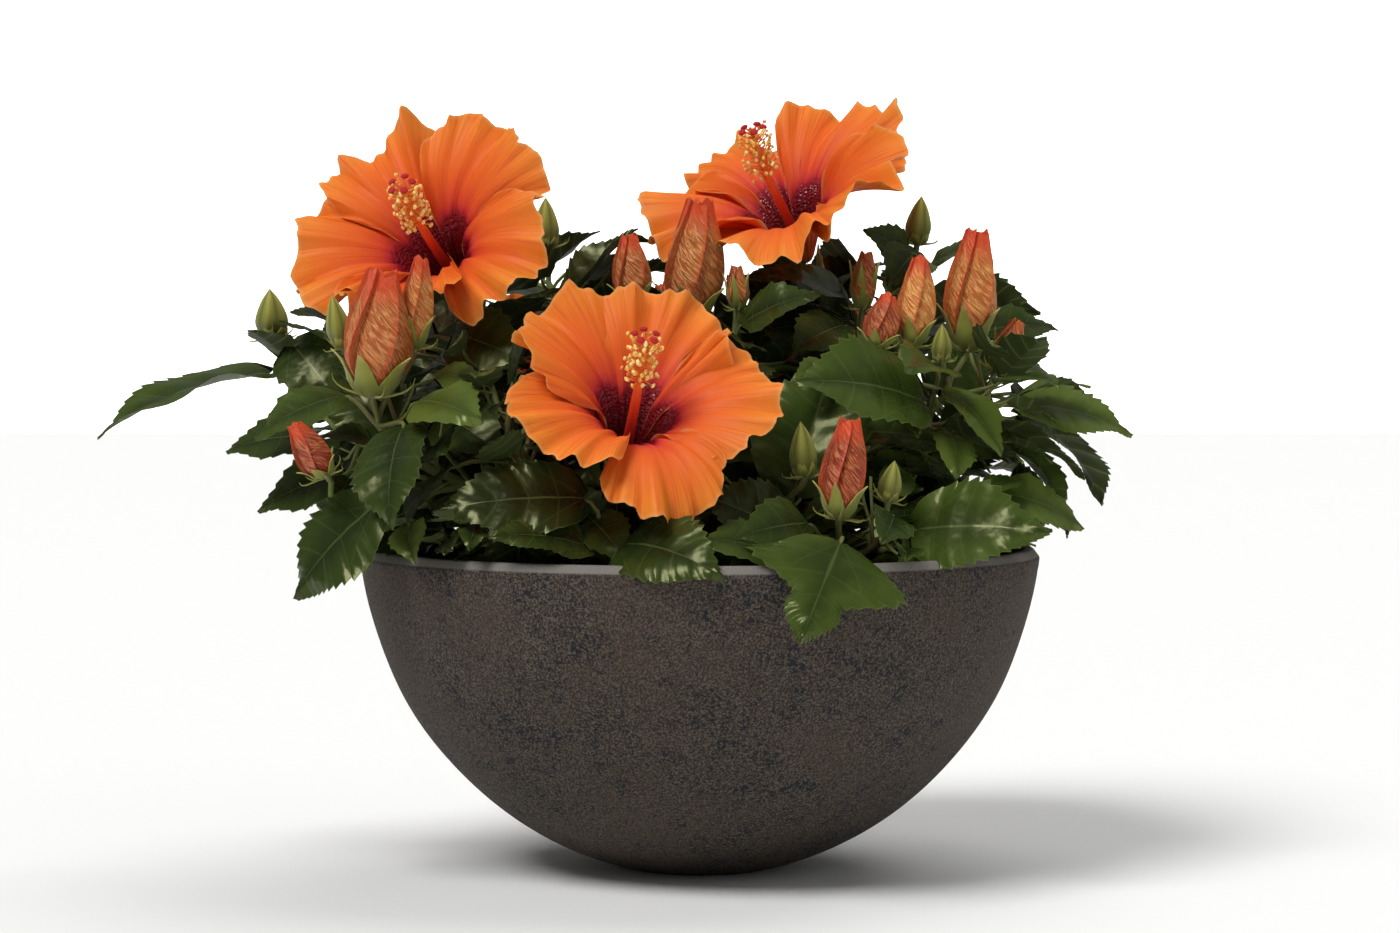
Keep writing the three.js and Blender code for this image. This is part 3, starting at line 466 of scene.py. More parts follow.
class Path:
    """The middle line of a limb, which leaves one spot along a heading and reaches another along a second."""

    STEPS = np.linspace(0, 1, 201)
    PULLS = (0.38, 0.36)

    def __init__(self, start, leaving, end, arriving):
        reach = np.linalg.norm(end - start)
        first, last = self.PULLS
        self.knots = (start, start + leaving * reach * first, end - arriving * reach * last, end)
        legs = np.linalg.norm(np.diff(self.curve(self.STEPS), axis=0), axis=1)
        self.run = np.concatenate([[0], np.cumsum(legs)])
        self.length = self.run[-1]

    def curve(self, t):
        """Spots by the curve's own measure."""
        t = np.asarray(t, float)[..., None]
        a, b, c, d = self.knots
        return (1 - t) ** 3 * a + 3 * (1 - t) ** 2 * t * b + 3 * (1 - t) * t * t * c + t**3 * d

    def spot(self, share):
        """Spots by the share of the length."""
        return self.curve(np.interp(np.asarray(share) * self.length, self.run, self.STEPS))

    def heading(self, share):
        """The way the limb runs at a share of its length."""
        t = np.interp(np.asarray(share) * self.length, self.run, self.STEPS)
        return unit(self.curve(np.minimum(t + 1e-4, 1)) - self.curve(np.maximum(t - 1e-4, 0)))


def add_limb(bundle, path, shares, radii, sides, ridge=None, **values):
    """Adds a round limb along a path, with a radius at each share of it. A ridge adds to the radius."""
    spots = path.spot(shares)
    turn = np.arange(sides) * 2 * math.pi / sides
    ways = unit(np.gradient(spots, axis=0))
    across = upright_frame(ways[0])[0]
    rings = []
    for i, (spot, along, radius) in enumerate(zip(spots, ways, radii)):
        across = square_to(across, along)
        reach = radius if ridge is None else radius * (1 + ridge(turn, i))
        rings.append(spot + ring_ways(turn, across, np.cross(along, across)) * np.reshape(reach, (-1, 1)))
    bundle.add_round(rings, spots[[0, -1]], **values)


def bark(seed):
    """Upright ridges of bark that wander and fork along a limb."""

    def ridge(turn, ring):
        wander = 0.5 * math.sin(0.21 * ring + seed) + 0.3 * math.sin(0.53 * ring + 2 * seed)
        coarse = np.sin(5 * turn + wander + 0.08 * ring)
        fine = np.sin(11 * turn - 1.7 * wander + 0.3 * math.sin(0.4 * ring)) * math.sin(0.35 * ring + seed)
        return BARK_RIDGE * (0.6 * coarse + 0.5 * fine) + 0.03 * math.sin(1.1 * ring + seed)

    return ridge


trunk_path = Path(TRUNK_FOOT, UP, TRUNK_TOP, UP)
share = np.linspace(0, 1, TRUNK_RINGS)
trunk_radii = TRUNK_RADII[0] + (TRUNK_RADII[1] - TRUNK_RADII[0]) * share + FLARE * np.exp(-FLARE_FADE * share)
wood = Bundle()
add_limb(wood, trunk_path, share, trunk_radii, TRUNK_SIDES, bark(1))
shoots = {}
for place, (name, (tier, tip, rise, twigs)) in enumerate(SHOOTS.items()):
    tip = np.array(tip, float)
    start = trunk_path.spot(1 if tier is None else BOUGH_TIERS[tier])
    outward = unit((tip - start) * [1, 1, 0])
    leaving = UP if tier is None else unit(outward + BOUGH_LIFT * UP)
    path = Path(start, leaving, tip, unit(outward + rise * UP))
    shoots[name] = {"seed": place + 1, "path": path, "twigs": twigs}
    share = np.linspace(0, 1, BOUGH_RINGS)
    radii = BOUGH_RADII[0] + (BOUGH_RADII[1] - BOUGH_RADII[0]) * share
    radii = radii * (1 + COLLAR * np.exp(-COLLAR_FADE * share) * (tier is not None))
    add_limb(wood, path, BOUGH_SHARE * share, radii, BOUGH_SIDES, bark(place + 2))

# Hibiscus bark is grey-brown and dull, with paler corky specks and darker furrows along the stem.
BARK_GRAIN = 2.2 * MM
hibiscus_bark, tree, shader = new_material("hibiscus_bark", {"Roughness": 0.85, "Specular IOR Level": 0.3})
place = add_node(tree, "ShaderNodeTexCoord").outputs["Object"]
drawn = add_node(tree, "ShaderNodeMapping", {"Scale": (1, 1, 0.3)}, {"Vector": place})
cork = add_node(tree, "ShaderNodeTexNoise", {"Scale": 1 / BARK_GRAIN, "Detail": 5.0}, {"Vector": drawn})
corky = add_node(
    tree, "ShaderNodeValToRGB", {"stops": [(0.28, "3a3024"), (0.5, "6b5f4a"), (0.72, "8d8266")]},
    {"Fac": cork},
)
furrows = add_node(tree, "ShaderNodeBump", {"Strength": 0.7, "Distance": 0.8 * MM}, {"Height": cork})
feed(shader, {"Base Color": corky, "Normal": furrows})
settle(
    wood.piece("trunk_and_boughs", [hibiscus_bark]),
    ["trunk", *("bough_" + name for name in SHOOTS)],
)

# Each shoot is a young stem that runs on from its bough, with side twigs that fork off it in turn.
# The wood is still green, smooth and a little ribbed, and browns towards the bough.
STEM_RADII = (2.5, 1.5)
TWIG_RADII = (1.9, 1.2)
TWIG_LIFT = 0.8
TWIG_FIRST = 0.22
TWIG_STEP = 0.2
STEM_RINGS = 24
STEM_SIDES = 8
TWIG_SIDES = 6
KNOT = 0.1
KNOT_STEP = 3
for shoot in shoots.values():
    path = shoot["path"]
    shoot["limbs"] = [(path, BOUGH_SHARE + CLEAR / path.length, STEM_RADII)]
    for k, end in enumerate(np.array(shoot["twigs"], float)):
        share = BOUGH_SHARE + (1 - BOUGH_SHARE) * (TWIG_FIRST + TWIG_STEP * k)
        fork = path.spot(share)
        reach = unit(end - fork)
        twig = Path(fork, unit(path.heading(share) + reach), end, unit(reach + TWIG_LIFT * UP))
        shoot["limbs"].append((twig, 0, TWIG_RADII))
green_wood = Bundle()
for name, shoot in shoots.items():
    for path, begin, radii in shoot["limbs"]:
        share = np.linspace(0, 1, STEM_RINGS)
        knots = 1 + KNOT * np.maximum(0, np.sin(share * path.length / KNOT_STEP)) ** 6
        radii = np.interp(share, [0, 1], radii) * knots
        add_limb(green_wood, path, begin + (1 - begin) * share, radii, STEM_SIDES)

# The open blooms: five broad petals that overlap like a pinwheel, ruffled at the edge, on a calyx and a
# stalk. Petals are thin and soft, and each bloom's long column stands out of a dark throat.
PETALS = 5
PETAL_LENGTH = 75
PETAL_ANGLE = 0.76
PETAL_THICKNESS = 0.5
PETAL_OVERLAP = 2.4
PETAL_CLAW = 3.5
PETAL_OPEN = 0.36
PETAL_SPREAD = 0.95
PETAL_ROWS = 30
PETAL_COLUMNS = 61
PETAL_SEED = 40
FULLNESS = 1.15
NARROWING = 0.28
FUNNEL = 4.0
BACK = 0.62
NOTCH = 0.028
RUFFLE = 4.2
FRILL = 1.6
PLEAT = 0.5
ROLL = 2.5
CURL = 2.5
COLUMN_LENGTH = 66
COLUMN_RADII = (2.6, 1.5)
COLUMN_RINGS = 26
COLUMN_SIDES = 14
CALYX_LENGTH = 22
BLOOM_STALK_RADII = (1.5, 2)
BLOOM_ROOM = 9
PETAL_ROOM = 4
STALK_CLEARANCE = 0.4
LIMB_ROOM = 0.6
BLOOMS = {
    "front": ("front_middle", 0, (-32, -78, 183), (0.16, -0.68, 0.72), 1, 1, 44, (0, 0.18, 0.9, 0.15, 0), 0),
    "left": ("left_back", 0, (-106, -5, 259), (-0.33, -0.8, 0.5), 1.03, 1, 38, (0.5, 0, -0.3, 0.2, 0.15), 0),
    "upper_right": (
        "back_right", 1, (48, 54, 270), (-0.28, -0.5, 0.78), 1.05, 1.15, -25, (0, 0.6, 0, -0.2, -0.4), -0.1,
    ),
    "rear_left": (
        "back_left", 1, (-88, 102, 190), (-0.42, 0.76, 0.5), 0.9, 1.1, 20, (0, 0.15, 0.45, 0.15, 0), 0,
    ),
    "rear_right": ("back_low", 1, (50, 112, 188), (0.12, 0.84, 0.52), 0.9, 1, 50, (0, 0.3, 0.75, 0.15, 0), 0),
}


class Room:
    """All that has grown so far, as groups of balls that new growth keeps clear of."""

    def __init__(self):
        self.groups, self.owners = [], np.zeros(0, "U24")
        self.lows, self.highs = np.zeros((0, 3)), np.zeros((0, 3))

    def take(self, spots, radius, owner):
        """Fills the room round some spots."""
        spots = np.reshape(spots, (-1, 3))
        self.groups.append((spots, radius))
        self.owners = np.append(self.owners, owner)
        self.lows = np.vstack([self.lows, spots.min(0) - radius])
        self.highs = np.vstack([self.highs, spots.max(0) + radius])

    def take_limb(self, path, begin, end, radius, owner):
        """Fills the room round a stretch of a limb."""
        steps = math.ceil(path.length * (end - begin) / 4)
        self.take(path.spot(np.linspace(begin, end, steps + 1)), radius, owner)

    def free(self, spots, radius, owner=""):
        """Whether no ball of another owner comes within a radius of the spots."""
        near = (self.lows < spots.max(0) + radius) & (self.highs > spots.min(0) - radius)
        for place in np.flatnonzero(near.all(1) & (self.owners != owner)):
            others, taken = self.groups[place]
            if (((others[:, None] - spots) ** 2).sum(2) <= (taken + radius) ** 2).any():
                return False
        return True


room = Room()
room.take_limb(trunk_path, 0, 1, TRUNK_RADII[0] + 1, "trunk")
for name, shoot in shoots.items():
    room.take_limb(shoot["path"], 0.1, BOUGH_SHARE, BOUGH_RADII[0] + LIMB_ROOM, "bough")
    for path, begin, radii in shoot["limbs"]:
        room.take_limb(path, begin, 1, radii[0] + LIMB_ROOM, name)


def petal_spots(bloom, petal, along, fan, rise):
    """Spots on a petal by the share along it, the share of its fan aside and the height over its face."""
    course = np.linspace(0, 1.2, 241)
    tilts = bloom["open"] * (PETAL_OPEN + PETAL_SPREAD * course) + bloom["droops"][petal] * course**2
    step = PETAL_LENGTH * bloom["size"] * course[1]
    tilt = np.interp(along, course, tilts)
    lift = PETAL_OVERLAP * fan * np.minimum(1, 1.6 * along) ** 2 + rise
    out = PETAL_CLAW + np.interp(along, course, np.cumsum(np.sin(tilts)) * step) - lift * np.cos(tilt)
    high = np.interp(along, course, np.cumsum(np.cos(tilts)) * step) + lift * np.sin(tilt)
    angle = np.radians(bloom["turn"] + 360 / PETALS * petal) + fan * PETAL_ANGLE
    outward = ring_ways(angle, bloom["across"], bloom["over"])
    return bloom["foot"] + high[..., None] * bloom["axis"] + out[..., None] * outward


blooms = {}
for name, (carrier, end, foot, facing, size, opening, turn, droops, lean) in BLOOMS.items():
    axis = unit(np.array(facing))
    across = square_to(UP, axis)
    bloom = {"foot": np.array(foot, float), "axis": axis, "across": across, "over": np.cross(axis, across)}
    bloom |= {"column": unit(axis + 0.12 * UP), "lean": lean, "seed": len(blooms)}
    bloom |= {"size": size, "open": opening, "turn": turn, "droops": droops}
    path = shoots[carrier]["limbs"][end][0]
    start, back = path.spot(1) + CLEAR * path.heading(1), bloom["foot"] - (CALYX_LENGTH - 2) * axis
    bloom["stalk"] = Path(start, path.heading(1), back, axis)
    room.take_limb(bloom["stalk"], 0, 1, BLOOM_STALK_RADII[1] + STALK_CLEARANCE, "bloom")
    runs = np.linspace(0, COLUMN_LENGTH * size, 9)[:, None]
    room.take(bloom["foot"] + runs * bloom["column"], BLOOM_ROOM, "bloom")
    room.take([bloom["foot"] - CALYX_LENGTH * share * axis for share in (0.35, 0.7)], BLOOM_ROOM, "bloom")
    along, fan = np.meshgrid(np.arange(1, 10) / 9.4, np.arange(-3, 4) / 3, indexing="ij")
    fan = fan * np.sqrt(1 - np.maximum(0, (along - 0.6) / 0.4) ** 2.6)
    for petal in range(PETALS):
        room.take(petal_spots(bloom, petal, along, fan, 0), PETAL_ROOM, "bloom")
    blooms[name] = bloom


@lru_cache(maxsize=None)
def blade_net(rows, columns):
    """Faces of a thin closed blade whose two nets share a rim, and which spots of the lower are its own."""
    inner = np.zeros((rows, columns), bool)
    inner[1:-1, 1:-1] = True
    inner = inner.ravel()
    upper = np.arange(rows * columns)
    lower = np.where(inner, rows * columns + np.cumsum(inner) - 1, upper)
    net = lattice(rows, columns)
    return np.concatenate([net, lower[net][:, ::-1]]), inner


def on_both(inner, **values):
    """Named values for a blade's upper net and for the lower net's own spots."""
    return {name: np.concatenate([value.ravel(), value.ravel()[inner]]) for name, value in values.items()}


# Hibiscus petals are satin and let some light through. Orange deepens to dark red at the throat, whose foot
# is painted nearly black as shade deep in the bloom, and fine veins fan out along each petal to a paler edge.
# The throat's waxy papillae are too fine to show in the render, so they are drawn more than a millimetre
# wide.
VEINS_ACROSS = 36
PAPILLA = 1.3 * MM
petal_satin, tree, shader = new_material(
    "petal_satin",
    {"Subsurface Weight": 0.25, "Subsurface Radius": (1.0, 0.35, 0.1), "Subsurface Scale": 2 * MM},
)
along, fan, petal_place, edge, back = (
    add_node(tree, "ShaderNodeAttribute", {"attribute_name": name}).outputs["Fac"]
    for name in ("along", "fan", "petal", "edge", "back")
)
spread_out = add_node(tree, "ShaderNodeCombineXYZ", links={"X": fan, "Y": along, "Z": petal_place})
streaks = add_node(tree, "ShaderNodeMapping", {"Scale": (VEINS_ACROSS, 1.6, 9)}, {"Vector": spread_out})
streak = add_node(
    tree, "ShaderNodeTexNoise", {"Scale": 1.0, "Detail": 2.5, "Roughness": 0.6}, {"Vector": streaks},
)
aside = add_node(tree, "ShaderNodeMath", {"operation": "MULTIPLY"}, {"Value": fan, "Value_001": fan})
wedge = add_node(
    tree, "ShaderNodeMath", {"operation": "MULTIPLY_ADD", "Value_001": 0.13},
    {"Value": aside, "Value_002": along},
)
strayed = add_node(
    tree, "ShaderNodeMath", {"operation": "MULTIPLY_ADD", "Value_001": 0.1},
    {"Value": streak, "Value_002": wedge},
)
ripened = add_node(tree, "ShaderNodeMath", {"operation": "MAXIMUM"}, {"Value": strayed, "Value_001": back})
# The lowest stops are painted shade: the foot of the throat goes from its own dark red to nearly black deep
# in the bloom.
flame = add_node(
    tree, "ShaderNodeValToRGB",
    {
        "stops": [
            (0.1, "30030e"), (0.33, "660617"), (0.455, "7e091f"), (0.48, "a01a2c"), (0.505, "cc3738"),
            (0.555, "da4d2c"), (0.67, "e56020"), (0.86, "ea7122"), (1.0, "ee842a"),
        ]
    },
    {"Fac": ripened},
)
veined = add_node(
    tree, "ShaderNodeMapRange", {"From Min": 0.46, "From Max": 0.34, "To Max": 0.38}, {"Value": streak},
)
petal_colour = add_node(
    tree, "ShaderNodeMix", {"data_type": "RGBA", "B_Color": "c23a1c"},
    {"Factor_Float": veined, "A_Color": flame},
)
thin_edge = add_node(
    tree, "ShaderNodeMapRange", {"From Min": 0.97, "From Max": 0.995, "To Max": 0.45}, {"Value": edge},
)
edged = add_node(
    tree, "ShaderNodeMix", {"data_type": "RGBA", "B_Color": "f6a766"},
    {"Factor_Float": thin_edge, "A_Color": petal_colour},
)
waxen = add_node(
    tree, "ShaderNodeMapRange", {"From Min": 0.43, "From Max": 0.53, "To Min": 0.2, "To Max": 0.55},
    {"Value": ripened},
)
glossy = add_node(
    tree, "ShaderNodeMapRange", {"From Min": 0.43, "From Max": 0.53, "To Min": 0.6, "To Max": 0.25},
    {"Value": ripened},
)
place = add_node(tree, "ShaderNodeTexCoord").outputs["Object"]
papillae = add_node(tree, "ShaderNodeTexVoronoi", {"Scale": 1 / PAPILLA}, {"Vector": place})
in_throat = add_node(
    tree, "ShaderNodeMapRange", {"From Min": 0.52, "From Max": 0.45, "To Max": -4.0}, {"Value": ripened},
)
relief = add_node(
    tree, "ShaderNodeMath", {"operation": "MULTIPLY_ADD"},
    {"Value": papillae, "Value_001": in_throat, "Value_002": streak},
)
ribbed = add_node(tree, "ShaderNodeBump", {"Strength": 0.4, "Distance": 0.7 * MM}, {"Height": relief})
feed(shader, {"Base Color": edged, "Roughness": waxen, "Specular IOR Level": glossy, "Normal": ribbed})

# The column is a smooth fleshy tube, dark red in the throat and orange where the stamens stand. It grows
# on from the foot of the bloom and ends in five short styles.
column_flesh, tree, shader = new_material("column_flesh", {"Roughness": 0.4, "Subsurface Weight": 0.1})
along = add_node(tree, "ShaderNodeAttribute", {"attribute_name": "along"}).outputs["Fac"]
flushed = add_node(
    tree, "ShaderNodeValToRGB",
    {"stops": [(0.0, "a01218"), (0.2, "d3261e"), (0.5, "e8421f"), (0.8, "f07c30"), (1.0, "f4a04a")]},
    {"Fac": along},
)
feed(shader, {"Base Color": flushed})

# The stigma pads are small cushions of red velvet pile, one on each of the column's five styles. The pile is
# drawn coarser than the real one, which is too fine to show.
PILE = 0.4 * MM
stigma_velvet, tree, shader = new_material("stigma_velvet", {"Base Color": "bb1418", "Roughness": 0.7})
velvet = add_node(tree, "ShaderNodeTexNoise", {"Scale": 1 / PILE, "Detail": 2.0})
piled = add_node(tree, "ShaderNodeBump", {"Strength": 0.6, "Distance": 0.2 * MM}, {"Height": velvet})
feed(shader, {"Normal": piled})
STIGMAS = 5
STYLE_LENGTH = 6.5
STYLE_RADIUS = 0.5
PAD_RADIUS = 1.75
PAD_SQUASH = 0.6
PAD_RINGS = 6
PAD_SIDES = 10
STAMENS = 96
GOLDEN_ANGLE = 2.399963
STAMEN_ZONE = (0.66, 0.97)
FILAMENT_LENGTHS = (5.0, 8.6)
stamen_spots, stamen_aims, stamen_reach = [], [], []


def add_pad(bundle, middle, axis, radius):
    """Adds a round pad, flattened along an axis, in the second finish."""
    ring = ring_ways(np.arange(PAD_SIDES) * 2 * math.pi / PAD_SIDES, *upright_frame(axis))
    tilts = np.linspace(-1.3, 1.3, PAD_RINGS)
    rings = [middle + radius * math.cos(t) * ring + radius * PAD_SQUASH * math.sin(t) * axis for t in tilts]
    poles = [middle - radius * PAD_SQUASH * axis, middle + radius * PAD_SQUASH * axis]
    bundle.add_round(rings, poles, 1, along=0.0)


def turned_about(vector, axis, angle):
    """A direction turned about an axis that is square to it."""
    return vector * math.cos(angle) + np.cross(axis, vector) * math.sin(angle)


def ripple(chance, waves, fan):
    """A wavy row across a petal: waves with chance phases, the shorter ones lower."""
    row = np.zeros_like(fan)
    for wave in waves:
        phase = chance.uniform(0, 2 * math.pi)
        row += (waves[0] / wave) ** 0.7 * np.sin(wave * chance.uniform(0.85, 1.15) * fan + phase)
    return row


for name, bloom in blooms.items():
    chance = np.random.default_rng(PETAL_SEED + bloom["seed"])
    size, axis, foot = bloom["size"], bloom["axis"], bloom["foot"]
    petals = Bundle()
    share, fan = np.meshgrid(np.linspace(0, 1, PETAL_ROWS), np.linspace(1, -1, PETAL_COLUMNS), indexing="ij")
    for petal in range(PETALS):
        limp = chance.uniform(0.6, 1.4)
        full = FULLNESS * (1 - NARROWING * max(0, bloom["droops"][petal]))
        edge = 0.6 + 0.4 * (1 - fan**2) ** (1 / 2.2)
        along = share * edge * (1 + NOTCH * ripple(chance, (6, 13, 27, 46), fan) * share)
        ruffle = limp * RUFFLE * ripple(chance, (6, 10, 16), fan) * share**3.2
        frill = FRILL * ripple(chance, (23, 37), fan) * share**6
        pleat = PLEAT * ripple(chance, (13, 19), fan) * np.sin(math.pi * share)
        sides = np.where(fan > 0, *chance.uniform(0, 6, 2))
        rolled = ROLL * np.abs(fan) ** 4 * np.sin(math.pi * share**2.2) * np.sin(8 * share + sides)
        curl = FUNNEL * np.sin(math.pi * along) ** 2 - CURL * chance.uniform(-0.5, 1.2) * share**5
        rise = size * (ruffle + frill + pleat + rolled + curl)
        upper, lower = (
            petal_spots(bloom, petal, along, full * fan, rise - depth).reshape(-1, 3)
            for depth in (0, PETAL_THICKNESS)
        )
        faces, inner = blade_net(PETAL_ROWS, PETAL_COLUMNS)
        edges = np.maximum(share, np.abs(fan) - 0.005)
        values = on_both(inner, along=along, fan=fan, edge=edges)
        values["petal"] = 5.0 * bloom["seed"] + petal
        values["back"] = np.repeat([0, BACK], [inner.size, inner.sum()])
        petals.add(np.concatenate([upper, lower[inner]]), faces, **values)
    settle(petals.piece("petals_" + name, [petal_satin]), ["bloom_" + name])
    tip = foot + COLUMN_LENGTH * size * unit(bloom["column"] + [bloom["lean"], 0, 0])
    path = Path(foot, axis, tip, unit(bloom["column"] + 0.25 * UP))
    shares = np.linspace(0, 0.96, COLUMN_RINGS)
    column = Bundle()
    radii = size * np.interp(shares, [0, 1], COLUMN_RADII)
    add_limb(column, path, shares, radii, COLUMN_SIDES, along=[*np.repeat(shares, COLUMN_SIDES), 0, 1])
    heading = path.heading(1)
    side = square_to(UP, heading)
    for k in range(STIGMAS):
        angle = k * 2 * math.pi / STIGMAS
        out = turned_about(side, heading, angle)
        root = path.spot(0.95)
        end = root + STYLE_LENGTH * size * (0.75 * out + 0.75 * heading)
        style = Path(root, heading, end, unit(out + 0.4 * heading))
        add_limb(column, style, np.linspace(0, 1, 6), np.full(6, STYLE_RADIUS), 6, along=0.62)
        add_pad(column, end, unit(out * 0.4 + heading), PAD_RADIUS * size)
    settle(column.piece("column_" + name, [column_flesh, stigma_velvet]), ["bloom_" + name])
    for k in range(STAMENS):
        share = np.interp((k + 0.5) / STAMENS, [0, 1], STAMEN_ZONE)
        heading = path.heading(share)
        side = square_to(UP, heading)
        angle = k * GOLDEN_ANGLE
        out = turned_about(side, heading, angle)
        stamen_spots.append(path.spot(share))
        stamen_aims.append(unit(out + heading * (0.15 + 0.5 * share) + chance.normal(0, 0.16, 3)))
        stamen_reach.append(size * chance.uniform(*FILAMENT_LENGTHS))

# Stamens: short threads that stand out all round the upper column, each with a grain of pollen sacs at its
# end. A rule sets one on every marked spot of the columns, aimed and sized by the spot's own values.
THREAD_RADIUS = 0.28
ANTHER_RADIUS = 0.92
POLLEN_CLUMP = 2.2 * MM
filament_thread = new_material("filament_thread", {"Base Color": "f2913f", "Roughness": 0.5})[0]
pollen, tree, shader = new_material("pollen_anther", {"Roughness": 0.75, "Specular IOR Level": 0.3})
place = add_node(tree, "ShaderNodeTexCoord").outputs["Object"]
dust = add_node(tree, "ShaderNodeTexNoise", {"Scale": 1 / POLLEN_CLUMP, "Detail": 3.0}, {"Vector": place})
dusty = add_node(
    tree, "ShaderNodeValToRGB", {"stops": [(0.35, "e59a36"), (0.48, "f6c75c"), (0.64, "fdeaa6")]},
    {"Fac": dust},
)
feed(shader, {"Base Color": dusty})
rule, given, result = new_rule(
    "stamens_on_column",
    [
        ("Thread Radius", "NodeSocketFloat"), ("Anther Radius", "NodeSocketFloat"),
        ("Thread Finish", "NodeSocketMaterial"), ("Anther Finish", "NodeSocketMaterial"),
    ],
)
aim = add_node(rule, "GeometryNodeInputNamedAttribute", {"data_type": "FLOAT_VECTOR", "Name": "aim"})
length = add_node(rule, "GeometryNodeInputNamedAttribute", {"data_type": "FLOAT", "Name": "reach"})
aim, length = (socket(node.outputs, "Attribute") for node in (aim, length))
spots = add_node(rule, "GeometryNodeMeshToPoints", links={"Mesh": given.outputs["Geometry"]})
aimed = add_node(rule, "FunctionNodeAlignRotationToVector", {"axis": "Z"}, {"Vector": aim})
thread = add_node(
    rule, "GeometryNodeMeshCylinder", {"Vertices": 5, "Depth": 1.0, "fill_type": "TRIANGLE_FAN"},
    {"Radius": given.outputs["Thread Radius"]},
)
rooted = add_node(rule, "GeometryNodeTransform", {"Translation": (0, 0, 0.5)}, {"Geometry": thread})
drawn_out = add_node(rule, "ShaderNodeCombineXYZ", {"X": 1.0, "Y": 1.0}, {"Z": length})
threads = add_node(
    rule, "GeometryNodeInstanceOnPoints",
    links={"Points": spots, "Instance": rooted, "Rotation": aimed, "Scale": drawn_out},
)
outward = add_node(rule, "ShaderNodeVectorMath", {"operation": "SCALE"}, {"Vector": aim, "Scale": length})
ends = add_node(rule, "GeometryNodeSetPosition", links={"Geometry": spots, "Offset": outward})
sac = add_node(
    rule, "GeometryNodeMeshIcoSphere", {"Subdivisions": 2}, {"Radius": given.outputs["Anther Radius"]},
)
bean = add_node(
    rule, "FunctionNodeRandomValue",
    {"data_type": "FLOAT_VECTOR", "Min": (0.8, 1.1, 0.6), "Max": (1.1, 1.6, 0.9), "Seed": 3},
)
sacs = add_node(
    rule, "GeometryNodeInstanceOnPoints",
    links={"Points": ends, "Instance": sac, "Rotation": aimed, "Scale": bean},
)
finishes = []
for instances, finish_name in ((threads, "Thread Finish"), (sacs, "Anther Finish")):
    made = add_node(rule, "GeometryNodeRealizeInstances", links={"Geometry": instances})
    smooth = add_node(rule, "GeometryNodeSetShadeSmooth", links={"Geometry": made})
    finishes.append(
        add_node(
            rule, "GeometryNodeSetMaterial",
            links={"Geometry": smooth, "Material": given.outputs[finish_name]},
        )
    )
joined = add_node(rule, "GeometryNodeJoinGeometry")
for finish in finishes:
    feed(joined, {"Geometry": finish})
feed(result, {"Geometry": joined})
marks = bpy.data.meshes.new("stamen_marks")
marks.from_pydata(np.array(stamen_spots) * MM, [], [])
marks.attributes.new("aim", "FLOAT_VECTOR", "POINT").data.foreach_set("vector", np.ravel(stamen_aims))
marks.attributes.new("reach", "FLOAT", "POINT").data.foreach_set("value", np.array(stamen_reach) * MM)
stamens = grown(
    "stamens", marks, rule,
    {
        "Thread Radius": THREAD_RADIUS * MM, "Anther Radius": ANTHER_RADIUS * MM,
        "Thread Finish": filament_thread, "Anther Finish": pollen,
    },
)
settle(stamens, ["bloom_" + name for name in blooms])

# Each bloom and bud sits in a calyx, a green cup of five pointed sepals with thin bracts curling out below.
# The sepals are ribbed and a little downy, and join at the stalk.
SEPALS = 5
SEPAL_COLUMNS = 8
CALYX_ROWS = 9
SEPAL_THICKNESS = 0.5
BRACTS = 7
BRACT_RADII = (0.75, 0.12)
CALYX_SEED = 70
calyx_down, tree, shader = new_material(
    "calyx_down",
    {"Roughness": 0.6, "Specular IOR Level": 0.3, "Sheen Weight": 0.2, "Subsurface Weight": 0.05},
)
along = add_node(tree, "ShaderNodeAttribute", {"attribute_name": "along"}).outputs["Fac"]
budding = add_node(
    tree, "ShaderNodeValToRGB",
    {"stops": [(0.0, "5f6424"), (0.4, "828434"), (0.8, "9c9a40"), (1.0, "b8b062")]}, {"Fac": along},
)
feed(shader, {"Base Color": budding})
calyxes = Bundle()


def add_calyx(foot, axis, tall, wide, flare, chance):
    """A cup of sepals that rises from a foot along an axis, with its bracts."""
    across, over = upright_frame(axis)
    columns = SEPALS * SEPAL_COLUMNS
    turn = np.arange(columns) * 2 * math.pi / columns
    peak = 1 - np.abs(2 * ((SEPALS * turn / (2 * math.pi)) % 1) - 1)
    rim = 0.3 + 0.7 * peak**1.2
    level = np.linspace(0, 1, CALYX_ROWS)[:, None] * rim
    radius = wide * (0.3 + 0.7 * np.minimum(1, level / 0.35) ** 0.55)
    radius = radius * (1 + 0.05 * np.cos(SEPALS * turn + math.pi))
    radius = radius + flare * level**3 + 0.03 * wide * np.cos(4 * SEPALS * turn) * level
    out = ring_ways(turn, across, over)
    outer = foot + (radius[..., None] * out) + (tall * level)[..., None] * axis
    inner = outer - SEPAL_THICKNESS * out + 0.15 * axis
    rows = np.concatenate([outer, inner[::-1]])
    values = np.concatenate([level, level[::-1]]).ravel()
    ends = np.array([foot, foot + 0.4 * axis])
    calyxes.add_round(rows, ends, along=[*values, 0, 0])
    for k in range(BRACTS):
        angle = (k + chance.uniform(-0.2, 0.2)) * 2 * math.pi / BRACTS
        out = turned_about(across, axis, angle)
        reach = wide * chance.uniform(1.0, 1.5) + 2.5
        start = foot + 0.2 * wide * out + 0.6 * axis
        end = start + reach * (out + chance.uniform(0.1, 0.8) * axis)
        path = Path(start, unit(out + 0.2 * axis), end, unit(chance.uniform(-0.4, 0.6) * out + axis))
        shares = np.linspace(0, 1, 8)
        add_limb(calyxes, path, shares, np.interp(shares, [0, 1], BRACT_RADII), 5, along=0.5)


